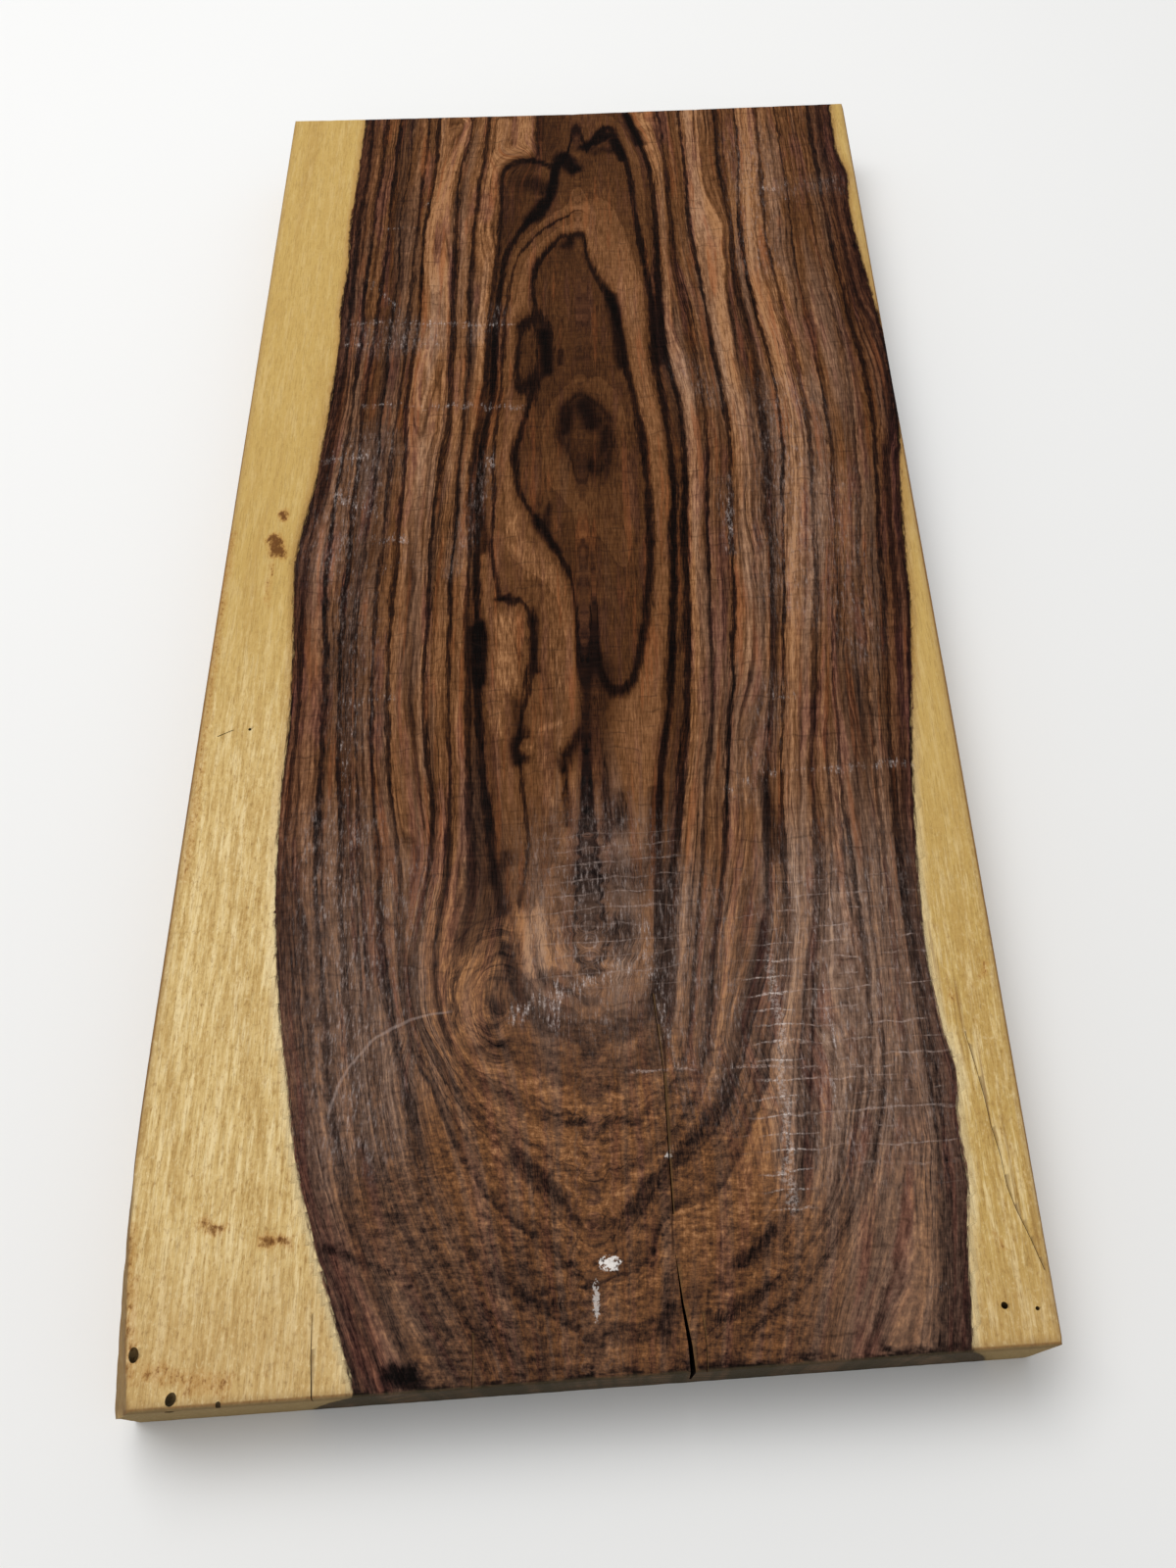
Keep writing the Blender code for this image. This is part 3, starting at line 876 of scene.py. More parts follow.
    def _fit_outline(self, mesh: bpy.types.Mesh) -> None:
        """Bend the square-cut board to the real one's outline, wane and worn corners.

        Args:
            mesh: the board, in mm, which is left in metres in the CAD's frame.
        """
        x, y, z = read_places(mesh).T
        share = y / self.length
        x = self._waisted(x, y)
        near = self.run_out * (x + self.width / 2) / self.width
        hollow = self.far_hollow * (1 - np.abs(x) / (self.width / 2))
        y = near * (1 - share) + (y - hollow * share**self.far_hollow_power)
        x, z = self._waned(x, y, z)
        corner_y = np.minimum(y - near, self.length - y)
        corner_x = self.width / 2 - np.abs(x)
        at_corner = ((1 - smooth_step(corner_x, 0.0, self.corner_run))
                     * (1 - smooth_step(corner_y, 0.0, self.corner_run)))
        x = x - np.sign(x) * self.corner_wear * at_corner
        y = y + np.where(share < 0.5, 1, -1) * self.corner_wear * at_corner
        places = np.column_stack([x * MM, y * MM - self.length * MM / 2, z * MM])
        mesh.vertices.foreach_set("co", places.ravel())
        mesh.update()

    def _waisted(self, x: np.ndarray, y: np.ndarray) -> np.ndarray:
        """Draw the long sides in to their real lines.

        Args:
            x: places across the board, in mm.
            y: places along it from the near end, in mm.

        Returns:
            The places across the board.
        """
        near_right, far_right = self.right_tapers
        left = np.interp(y, (0, self.widest_left, self.length), (0.0, 0.0, self.left_taper))
        right = np.interp(y, (0, self.widest_right, self.length), (near_right, 0.0, far_right))
        share = np.abs(x) / (self.width / 2)
        return x + share * np.where(x < 0, left, -right)

    def _waned(self, x: np.ndarray, y: np.ndarray, z: np.ndarray) -> tuple[np.ndarray, np.ndarray]:
        """Press the near left arris down to the outside of the log.

        Args:
            x: places across the board, in mm.
            y: places along it from the near end, in mm.
            z: heights, in mm.

        Returns:
            The places across the board and the heights on the wane.
        """
        lean = math.atan2(self.wane_depth, self.wane_width)
        deepest = self.wane_width * math.sin(lean)
        sink = deepest * np.clip(1 - y / self.wane_run, 0, 1) ** self.wane_power
        away, up = -math.sin(lean), math.cos(lean)
        proud = (x + self.width / 2) * away + (z - self.thickness) * up + sink
        ease = self.wane_ease
        over = np.where(proud > ease, proud, np.maximum(0.0, proud + ease) ** 2 / (4 * ease))
        over = np.where(sink > self.wane_end, over, np.maximum(0.0, proud))
        return x - over * away, z - over * up

    def _cut(self, board: bpy.types.Object) -> None:
        """Cut the checks and the insect holes into the board.

        Args:
            board: the board, whose mesh is replaced by the cut one.
        """
        shape = bmesh.new()
        for crack in CRACKS:
            crack.add_to(shape)
        for hole in HOLES:
            hole.add_to(shape)
        mesh = bpy.data.meshes.new("cracks_and_holes")
        shape.to_mesh(mesh)
        shape.free()
        # The cutters' faces become the cut walls, where shade is painted
        walls = mesh.attributes.new(Attribute.CUT_WALL.value, "FLOAT", "FACE")
        walls.data.foreach_set("value", np.ones(len(mesh.polygons), np.float32))
        cutter = bpy.data.objects.new("cracks_and_holes", mesh)
        bpy.context.scene.collection.objects.link(cutter)
        cut = board.modifiers.new("cracks_and_holes", "BOOLEAN")
        cut.operation = "DIFFERENCE"
        cut.solver = "MANIFOLD"
        cut.object = cutter
        bpy.context.view_layer.update()
        evaluated = board.evaluated_get(bpy.context.evaluated_depsgraph_get())
        finished = bpy.data.meshes.new_from_object(evaluated)
        plain = board.data
        board.modifiers.clear()
        board.data = finished
        finished.name = "kingwood_board"
        bpy.data.objects.remove(cutter, do_unlink=True)
        bpy.data.meshes.remove(mesh)
        bpy.data.meshes.remove(plain)

    def _relief(self, mesh: bpy.types.Mesh) -> None:
        """Give the sawn faces their unevenness: slow waves, saw ripples, torn grain and nicks.

        Every move is inwards, so that the board stays inside its CAD box.

        Args:
            mesh: the board.
        """
        x, y, z = board_mm(read_places(mesh))
        top = smooth_step(z, *(self.thickness - depth for depth in self.top_skin))
        side = smooth_step(np.abs(x), *(self.width / 2 - depth for depth in self.side_skin)) * (1 - top)
        to_end = np.minimum(y - self.near_line(x), self.far_y - self.far_end_wear - y)
        end = 1 - smooth_step(to_end, *self.end_skin)
        torn = Figure.marked(TORN_MARKS, np.column_stack([x, y]), TORN_SOFTNESS)
        fall, slide, push = (np.zeros(len(x)) for _ in range(3))
        for index in np.flatnonzero(top > 0):
            here = x[index], y[index]
            fall[index] = SLOW_WAVES.height + SLOW_WAVES.at(*here)
            if torn[index] > self.least_torn:
                fibre = LONG_TEARS.at(*here) + SHORT_TEARS.at(*here)
                fall[index] += torn[index] * self.torn_depth * max(0.0, fibre + self.torn_share)
        saw = 0.5 + 0.5 * np.cos(2 * np.pi * (y - SAW_SLANT * x) / RIPPLE_PITCH)
        fall += self.ripple_height * ripple_cover(x, y) * (1 - saw**3)
        for index in np.flatnonzero(side > 0):
            here = y[index], z[index]
            slide[index] = SIDE_NICKS.height + SIDE_NICKS.at(*here) + max(0.0, SIDE_TEARS.at(*here))
        for index in np.flatnonzero(end > 0):
            here = x[index], z[index]
            tear = max(0.0, END_TEARS.at(*here) - self.end_tear_start) * top[index]
            push[index] = END_NICKS.height + END_NICKS.at(*here) + tear
        z = z - top * fall
        x = x - np.sign(x) * side * slide
        y = y + np.where(y < self.length / 2, 1, -1) * end * push
        mesh.vertices.foreach_set("co", cad_places(x, y, z).ravel())
        mesh.update()

    def near_line(self, x: np.ndarray) -> np.ndarray:
        """The near end's line, out of square to the sides, in mm from its own middle."""
        return self.run_out * x / self.width


def ripple_cover(x: np.ndarray, y: np.ndarray) -> np.ndarray:
    """Where the blade has left ripples across the top face.

    Args:
        x: places across the board, in mm.
        y: places along it, in mm.

    Returns:
        The cover, from 0 to 1.
    """
    fainter = 0.6
    middle = window(x, (-26, -14), (13, 24)) * window(y, (76, 84), (118, 126))
    right = window(x, (38, 48), (74, 82)) * window(y, (55, 68), (95, 110))
    return np.maximum(middle, fainter * right)


def absorb(shape: bmesh.types.BMesh, other: bmesh.types.BMesh) -> None:
    """Add another mesh's parts to a shape and free the other.

    Args:
        shape: the mesh that is added to.
        other: the mesh that is taken in.
    """
    mesh = bpy.data.meshes.new("absorbed")
    other.to_mesh(mesh)
    other.free()
    shape.from_mesh(mesh)
    bpy.data.meshes.remove(mesh)


def read_vectors(parts: bpy.types.bpy_prop_collection, name: str) -> np.ndarray:
    """One vector for each part of a mesh.

    Args:
        parts: its vertices or faces.
        name: which of their vectors.

    Returns:
        The vectors, one row each.
    """
    flat = np.empty(len(parts) * 3)
    parts.foreach_get(name, flat)
    return flat.reshape(-1, 3)


def read_numbers(parts: bpy.types.bpy_prop_collection, name: str, kind: type = int) -> np.ndarray:
    """One number for each part of a mesh.

    Args:
        parts: its faces, corners or values.
        name: which of their numbers.
        kind: the numbers' type.

    Returns:
        The numbers.
    """
    numbers = np.empty(len(parts), kind)
    parts.foreach_get(name, numbers)
    return numbers


def read_places(mesh: bpy.types.Mesh) -> np.ndarray:
    """Where the mesh's vertices are, one row each."""
    return read_vectors(mesh.vertices, "co")


def board_mm(place: np.ndarray) -> tuple[np.ndarray, np.ndarray, np.ndarray]:
    """Places in the CAD's frame as mm across, along and above the board."""
    return place[:, 0] / MM, (place[:, 1] - NEAR_END_Y) / MM, place[:, 2] / MM


def cad_places(x: np.ndarray, y: np.ndarray, z: np.ndarray) -> np.ndarray:
    """Millimetres across, along and above the board as places in the CAD's frame."""
    return np.column_stack([x * MM, y * MM + NEAR_END_Y, z * MM])


@dataclass(frozen=True)
class Crack:
    """A check or hairline crack: a narrow wedge along a path in the top face, in mm."""

    path: tuple[Point, ...]
    widths: tuple[float, float]
    depths: tuple[float, float]
    height: float = 24.0
    above: float = 2.0
    foot: float = 0.35

    def add_to(self, shape: bmesh.types.BMesh) -> None:
        """Add the wedge that cuts this crack to a mesh of cutters.

        Args:
            shape: the mesh of cutters.
        """
        wedge = bmesh.new()
        bmesh.ops.create_cube(wedge, size=1.0)
        long_edges = [edge for edge in wedge.edges
                      if abs(edge.verts[0].co.y - edge.verts[1].co.y) > 0.5]
        steps = len(self.path) - 1
        if steps > 1:
            bmesh.ops.subdivide_edges(wedge, edges=long_edges, cuts=steps - 1)
        for vertex in wedge.verts:
            share = vertex.co.y + 0.5
            centre = self.path[round(share * steps)]
            width = self.widths[0] + (self.widths[1] - self.widths[0]) * share
            depth = self.depths[0] + (self.depths[1] - self.depths[0]) * share
            high = vertex.co.z > 0
            taper = 1.0 if high else self.foot
            vertex.co = (MM * (centre[0] + vertex.co.x * width * taper), MM * centre[1] + NEAR_END_Y,
                         MM * (self.height + self.above if high else self.height - depth))
        absorb(shape, wedge)


@dataclass(frozen=True)
class Hole:
    """An insect's boring: its mouth on the top face, in mm, its radius and depth, and its slant."""

    mouth: Point
    radius: float
    depth: float
    tilt: float
    heading: float
    height: float = 24.0
    narrowing: float = 0.7
    sides: int = 20

    def add_to(self, shape: bmesh.types.BMesh) -> None:
        """Add the peg that cuts this hole to a mesh of cutters.

        Args:
            shape: the mesh of cutters.
        """
        above = 2 * self.radius
        peg = bmesh.new()
        bmesh.ops.create_cone(peg, cap_ends=True, segments=self.sides,
                              radius1=self.narrowing * self.radius * MM, radius2=self.radius * MM,
                              depth=(self.depth + above) * MM)
        bmesh.ops.translate(peg, vec=(0.0, 0.0, (above - self.depth) / 2 * MM), verts=peg.verts)
        tilted = Matrix.Rotation(math.radians(self.tilt), 4, "Y")
        turn = Matrix.Rotation(math.radians(self.heading), 4, "Z") @ tilted
        place = Vector((self.mouth[0] * MM, self.mouth[1] * MM + NEAR_END_Y, self.height * MM))
        bmesh.ops.transform(peg, matrix=Matrix.Translation(place) @ turn, verts=peg.verts)
        absorb(shape, peg)


CRACKS = (
    Crack(((22.2, -3.0), (21.6, 6.0), (20.4, 14.0), (19.5, 23.0)), (1.35, 0.12), (17.0, 5.0)),
    Crack(((19.4, 31.0), (19.0, 45.0), (18.7, 60.0), (17.6, 72.0), (16.9, 79.0)), (0.34, 0.24), (3.0, 2.0)),
    Crack(((93.3, 18.8), (91.6, 24.9), (89.7, 30.7), (88.6, 35.4), (88.4, 41.1), (87.4, 48.0),
           (87.0, 53.9), (86.4, 59.0), (85.1, 68.5)), (0.16, 0.13), (2.0, 1.0)),
    Crack(((-52.4, -4.0), (-53.3, 5.0), (-53.8, 13.0)), (0.3, 0.12), (3.0, 1.5)),
    Crack(((-89.8, 149.3), (-88.0, 150.2), (-86.1, 151.1)), (0.9, 0.7), (1.2, 0.9)),
    Crack(((24.6, -2.0), (24.8, 6.0), (24.2, 12.0)), (0.3, 0.12), (1.5, 0.8)),
    Crack(((-21.4, -4.0), (-21.2, 4.0), (-21.6, 9.0)), (0.3, 0.12), (1.5, 0.8)),
)
HOLES = (
    Hole((-88.6, 6.05), 1.05, 10.0, 48, 96), Hole((-80.1, -2.05), 1.10, 9.0, 38, 70),
    Hole((84.2, 12.25), 0.70, 7.0, 20, 120), Hole((90.6, 11.6), 0.42, 4.0, 15, 40),
    Hole((-70.7, -3.1), 0.55, 5.0, 30, 80), Hole((-81.9, 151.2), 0.42, 2.5, 10, 0),
)


@dataclass(frozen=True)
class BakeSheet:
    """How the board's faces lie on its texture sheet, in the sheet's own pixels."""

    sheet: float = 1024.0
    margin: float = 4.0
    top_scale: float = 2.50
    under_scale: float = 1.72
    run_in: float = 8.0
    facing: float = 0.72
    far_end_shift: float = 490.0
    buried_place: Point = (720.0, 40.0)
    buried_across: Point = (0.62, 0.2)
    buried_up: Point = (4.0, 0.5)

    def apply(self, mesh: bpy.types.Mesh, board: SawnBoard) -> None:
        """Give the mesh its OFBake map.

        Args:
            mesh: the finished board.
            board: the sizes it was made to.
        """
        layer = mesh.uv_layers.new(name="OFBake")
        normals = read_vectors(mesh.polygons, "normal")
        centre_x, centre_y, _ = board_mm(read_vectors(mesh.polygons, "center"))
        totals = read_numbers(mesh.polygons, "loop_total")
        owner = np.repeat(np.arange(len(totals)), totals)
        corner = read_numbers(mesh.loops, "vertex_index")
        x, y, z = (values[corner] for values in board_mm(read_places(mesh)))
        half = board.width / 2
        buried = read_numbers(mesh.attributes[Attribute.CUT_WALL.value].data, "value", float) > 0.5
        across, along = np.abs(normals[:, 0]), np.abs(normals[:, 1])
        ends = (along > across) & (along > self.facing) & ~buried
        sides = (across > self.facing) & ~ends & ~buried
        under = (normals[:, 2] < 0) & ~ends & ~sides & ~buried
        u = self.margin + self.top_scale * (y + self.run_in)
        v = self.margin + self.top_scale * (x + half)
        wall_top = 3 * self.margin + self.top_scale * board.width
        strip = self.top_scale * board.thickness + 2 * self.margin
        pick = sides[owner]
        v = np.where(pick, wall_top + self.top_scale * z + np.where(centre_x[owner] > 0, strip, 0), v)
        pick = ends[owner]
        shift = np.where(centre_y[owner] > board.length / 2, self.far_end_shift, 0)
        u = np.where(pick, self.margin + self.top_scale * (x + half) + shift, u)
        v = np.where(pick, wall_top + 2 * strip + self.top_scale * z, v)
        base = wall_top + 3 * strip
        pick = under[owner]
        u = np.where(pick, self.margin + self.under_scale * (y + self.run_in), u)
        v = np.where(pick, base + self.under_scale * (x + half), v)
        pick = buried[owner]
        start_u, start_v = self.buried_place
        sunk_u = start_u + self.buried_across[0] * (y + self.run_in) + self.buried_across[1] * x
        sunk_v = base + start_v + self.buried_up[0] * z + self.buried_up[1] * x
        u = np.where(pick, sunk_u, u)
        v = np.where(pick, sunk_v, v)
        layer.data.foreach_set("uv", np.column_stack([u, v]).ravel() / self.sheet)


def linear(colour: Tone) -> Colour:
    """A colour as the shader's own values.

    Args:
        colour: the colour as seen on a screen, from 0 to 255.

    Returns:
        Its red, green and blue light, from 0 to 1.
    """
    shares = (channel / 255 for channel in colour)
    red, green, blue = (s / 12.92 if s <= 0.04045 else ((s + 0.055) / 1.055) ** 2.4 for s in shares)
    return red, green, blue


# The Mix node's colour sockets, which share their names with its other kinds
MIX_SHARE = 0
MIX_FIRST = 6
MIX_SECOND = 7
MIX_RESULT = 2


class Wire:
    """A number in the shader, which can be used in sums.

    It stands for what its socket holds, times a factor, plus an addend. Those two are worked out in
    Python for as long as that can be, so that a long sum needs few nodes.
    """

    def __init__(self, bench: Bench, socket: bpy.types.NodeSocket | None, factor: float = 1.0,
                 addend: float = 0.0) -> None:
        """Keep what the number is made of.

        Args:
            bench: where the nodes are made.
            socket: the socket it comes from, or None where the addend is all of it.
            factor: what the socket's value is multiplied by.
            addend: what is then added.
        """
        self.bench = bench
        self.socket = socket
        self.factor = factor
        self.addend = addend

    def settled(self) -> Wire:
        """Work the factor and the addend in.

        Returns:
            The same number in a socket of its own.
        """
        if self.factor == 1.0 and self.addend == 0.0:
            return self
        node = self.socket.node
        if node.bl_idname == "ShaderNodeMapRange":
            source = Wire(self.bench, node.inputs[0].links[0].from_socket)
            low, high, start, end = (node.inputs[index].default_value for index in range(1, 5))
            return self.bench.ranged(source, (low, high), (start * self.factor + self.addend,
                                                           end * self.factor + self.addend),
                                     node.interpolation_type)
        return self.bench.ranged(Wire(self.bench, self.socket), (0.0, 1.0),
                                 (self.addend, self.addend + self.factor))

    def _centred(self) -> Wire:
        """The same number with no addend."""
        return self if self.addend == 0.0 else self.settled()

    def _math(self, operation: str, *values: Wire | float) -> Wire:
        """One Math node over some values."""
        return self.bench.node("ShaderNodeMath", {"operation": operation}, dict(enumerate(values)))

    def __add__(self, other: Wire | float) -> Wire:
        """Add a value.

        Args:
            other: the value.

        Returns:
            The sum.
        """
        if not isinstance(other, Wire):
            return Wire(self.bench, self.socket, self.factor, self.addend + other)
        mine, theirs = Wire(self.bench, self.socket), Wire(self.bench, other.socket)
        share = other.factor / self.factor
        if share == 1.0:
            made = self._math("ADD", mine, theirs)
        else:
            made = self._math("MULTIPLY_ADD", theirs, share, mine)
        return Wire(self.bench, made.socket, self.factor, self.addend + other.addend)

    def __radd__(self, other: float) -> Wire:
        """Add to a number."""
        return self + other

    def __sub__(self, other: Wire | float) -> Wire:
        """Take a value away."""
        return self + -other

    def __rsub__(self, other: float) -> Wire:
        """Take this from a number."""
        return -self + other

    def __mul__(self, other: Wire | float) -> Wire:
        """Multiply by a value.

        Args:
            other: the value.

        Returns:
            The product.
        """
        if not isinstance(other, Wire):
            return Wire(self.bench, self.socket, self.factor * other, self.addend * other)
        mine, theirs = self._centred(), other._centred()
        made = self._math("MULTIPLY", Wire(self.bench, mine.socket), Wire(self.bench, theirs.socket))
        return Wire(self.bench, made.socket, mine.factor * theirs.factor)

    def __rmul__(self, other: float) -> Wire:
        """Multiply a number."""
        return self * other

    def __truediv__(self, other: Wire | float) -> Wire:
        """Divide by a value.

        Args:
            other: the value.

        Returns:
            The quotient.
        """
        if not isinstance(other, Wire):
            return self * (1 / other)
        return self._math("DIVIDE", self, other)

    def __neg__(self) -> Wire:
        """Turn the sign."""
        return self * -1.0

    def __abs__(self) -> Wire:
        """Drop the sign.

        Returns:
            The number without its sign.
        """
        mine = self._centred()
        made = self._math("ABSOLUTE", Wire(self.bench, mine.socket))
        return Wire(self.bench, made.socket, abs(mine.factor))

    def clamped(self) -> Wire:
        """Keep to between 0 and 1."""
        return self.bench.node("ShaderNodeClamp", {}, {0: self, 1: 0.0, 2: 1.0})

    def larger(self, other: Wire | float) -> Wire:
        """The larger of two values."""
        return self._math("MAXIMUM", self, other)

    def step(self, low: float, high: float) -> Wire:
        """Rise smoothly from 0 at low to 1 at high, or fall where high is the lower."""
        start, end = (low - self.addend) / self.factor, (high - self.addend) / self.factor
        return self.bench.ranged(Wire(self.bench, self.socket), (start, end), (0.0, 1.0), "SMOOTHSTEP")

    def between(self, rise: Point, fall: Point) -> Wire:
        """Rise smoothly from 0 to 1 over one range, and fall back over another."""
        return self.step(*rise) * self.step(*reversed(fall))


class Bench:
    """Where a material's nodes are made and joined."""

    def __init__(self, material: bpy.types.Material) -> None:
        """Clear the material's nodes.

        Args:
            material: the material.
        """
        material.use_nodes = True
        self.tree = material.node_tree
        self.tree.nodes.clear()

    def node(self, kind: str, settings: dict, inputs: dict, output: int | str = 0) -> Wire:
        """Make a node.

        Args:
            kind: the node's type.
            settings: its own options, set before its sockets; a ramp's stops come as "stops".
            inputs: values or wires by the socket's index or name.
            output: the socket returned.

        Returns:
            The node's output.
        """
        made = self.tree.nodes.new(kind)
        stops = settings.get("stops")
        for name, value in settings.items():
            if name == "interpolation":
                made.color_ramp.interpolation = value
            elif name != "stops":
                setattr(made, name, value)
        if stops:
            ramp = made.color_ramp
            while len(ramp.elements) < len(stops):
                ramp.elements.new(1.0)
            for element, (place, colour) in zip(ramp.elements, stops):
                element.position = place
                element.color = (*colour, 1.0)
        for key, value in inputs.items():
            if isinstance(value, Wire):
                self.tree.links.new(value.settled().socket, made.inputs[key])
            else:
                made.inputs[key].default_value = value
        return Wire(self, made.outputs[output])

    def ranged(self, value: Wire, source: tuple[float, float], target: tuple[float, float],
               course: str = "LINEAR") -> Wire:
        """Carry a value from one range to another.

        Args:
            value: what is carried.
            source: the two ends of the range it comes from.
            target: what they become.
            course: LINEAR, which goes on outside the range, or SMOOTHSTEP, which levels off there.

        Returns:
            The carried value.
        """
        return self.node("ShaderNodeMapRange", {"interpolation_type": course, "clamp": False},
                         {0: value, 1: source[0], 2: source[1], 3: target[0], 4: target[1]})

    def vector(self, x: Wire | float, y: Wire | float, z: Wire | float = 0.0) -> Wire:
        """Join three values.

        Args:
            x: the first.
            y: the second.
            z: the third.

        Returns:
            The vector.
        """
        parts = [part if isinstance(part, Wire) else Wire(self, None, 1.0, part) for part in (x, y, z)]
        joined = self.node("ShaderNodeCombineXYZ", {}, {
            index: Wire(self, part.socket) for index, part in enumerate(parts) if part.socket})
        factors = tuple(part.factor for part in parts)
        addends = tuple(part.addend for part in parts)
        if not any(addends):
            return self.node("ShaderNodeVectorMath", {"operation": "MULTIPLY"}, {0: joined, 1: factors})
        return self.node("ShaderNodeVectorMath", {"operation": "MULTIPLY_ADD"},
                         {0: joined, 1: factors, 2: addends})

    def length(self, place: Wire) -> Wire:
        """How long a vector is."""
        return self.node("ShaderNodeVectorMath", {"operation": "LENGTH"}, {0: place}, "Value")

    def noise(self, x: Wire, y: Wire, z: Wire | float, detail: float = 2.0, roughness: float = 0.5) -> Wire:
        """Cloudy noise whose cells are one unit across.

        Args:
            x: the first coordinate.
            y: the second.
            z: the third, or where a flat pattern is read.
            detail: how many times finer noise is added.
            roughness: how strong the finer noise is, from 0 to 1.

        Returns:
            The noise, from 0 to 1.
        """
        return self.node("ShaderNodeTexNoise", {"noise_dimensions": "3D"}, {
            "Vector": self.vector(x, y, z), "Scale": 1.0, "Detail": detail, "Roughness": roughness})

    def mix(self, share: Wire | float, first: Wire | Colour, second: Wire | Colour) -> Wire:
        """Mix two colours.

        Args:
            share: how much of the second there is, from 0 to 1.
            first: the first colour.
            second: the second colour.

        Returns:
            The mixed colour.
        """
        colours = [value if isinstance(value, Wire) else (*value, 1.0) for value in (first, second)]
        return self.node("ShaderNodeMix", {"data_type": "RGBA", "clamp_factor": True},
                         {MIX_SHARE: share, MIX_FIRST: colours[0], MIX_SECOND: colours[1]}, MIX_RESULT)

    def layered(self, colour: Wire | Colour, *layers: tuple[Wire, Tone]) -> Wire:
        """Lay tones over a colour, one after the other.

        Args:
            colour: the colour beneath.
            layers: how strongly each tone covers what lies beneath it, and the tone.

        Returns:
            The colour on top.
        """
        for cover, tone in layers:
            colour = self.mix(cover, colour, linear(tone))
        return colour

    def ramp(self, value: Wire, stops: list[tuple[float, Colour]], interpolation: str = "LINEAR") -> Wire:
        """Look a colour up along a ramp."""
        return self.node("ShaderNodeValToRGB", {"interpolation": interpolation, "stops": stops}, {0: value})

    def attribute(self, name: Attribute) -> Wire:
        """One of the mesh's values."""
        return self.node("ShaderNodeAttribute", {"attribute_name": name.value}, {}, "Fac")

    def sweep(self) -> None:
        """Take away the nodes that nothing reads."""
        while unread := [node for node in self.tree.nodes if node.outputs
                         and not any(socket.is_linked for socket in node.outputs)]:
            for node in unread:
                self.tree.nodes.remove(node)


@dataclass(frozen=True)
class Tones:
    """One family of the heartwood's colours, from its black lines to its palest bands."""

    stops: tuple[tuple[float, Tone], ...]

    def looked_up(self, bench: Bench, lightness: Wire) -> Wire:
        """The colour at a lightness."""
        return bench.ramp(lightness, [(place, linear(tone)) for place, tone in self.stops])


WARM_TONES = Tones((
    (0.00, (6, 2, 1)), (0.15, (30, 14, 7)), (0.30, (54, 30, 15)), (0.45, (78, 47, 24)),
    (0.60, (100, 64, 36)), (0.75, (122, 81, 50)), (0.90, (147, 102, 66)), (1.00, (166, 119, 80))))
COOL_TONES = Tones((
    (0.00, (8, 5, 4)), (0.15, (30, 20, 17)), (0.30, (54, 39, 32)), (0.45, (79, 59, 48)),
    (0.60, (102, 78, 64)), (0.75, (125, 98, 81)), (0.90, (150, 120, 100)), (1.00, (170, 139, 116))))
PLUM_TONES = Tones((
    (0.00, (8, 3, 3)), (0.15, (34, 16, 14)), (0.30, (58, 31, 27)), (0.45, (82, 48, 40)),
    (0.60, (105, 65, 53)), (0.75, (127, 83, 68)), (0.90, (149, 102, 77)), (1.00, (167, 118, 87))))


@dataclass(frozen=True)
class SapTones:
    """The sapwood's colours."""

    far: Tone = (196, 163, 96)
    near: Tone = (214, 184, 124)
    cream: Tone = (240, 218, 168)
    tan: Tone = (176, 138, 78)
    brown: Tone = (128, 86, 44)
    rim: Tone = (150, 104, 58)
    edge: Tone = (162, 130, 86)
    arris: Tone = (124, 86, 50)
    frayed: Tone = (236, 214, 166)
    blush: Tone = (176, 120, 58)
    stain: Tone = (98, 60, 30)
    low_end: Tone = (182, 146, 96)


@dataclass(frozen=True)
class WearAndPaintedLightTones:
    """The colours of what time, the saw and handling have left on the wood, and of the light and shade
    painted onto it.
    """

    bark: Tone = (104, 78, 48)
    # The near black of painted shade inside the checks and holes
    cut_wall: Tone = (26, 15, 9)
    orange_fibre: Tone = (150, 84, 46)
    # The whitish grey of the painted glare
    haze: Tone = (156, 134, 124)
    side_fibre: Tone = (150, 108, 58)
    side_line: Tone = (132, 96, 56)
    side_patch: Tone = (120, 92, 58)
    saw_line: Tone = (34, 20, 14)
    # The pale colour of the scratches, and of the crests' wax with painted highlight
    wax: Tone = (190, 168, 158)
    # The colours of painted sheen and painted glints
    painted_shine: Tone = (200, 186, 180)
    painted_glint: Tone = (196, 184, 180)
    chalk: Tone = (208, 194, 186)
    dust: Tone = (236, 230, 224)
    torn_sap: Tone = (128, 92, 50)
    # The dark line of painted shade along the middle crack
    hairline: Tone = (44, 26, 17)
    end_sap: Tone = (132, 116, 82)
    end_heart: Tone = (82, 72, 54)


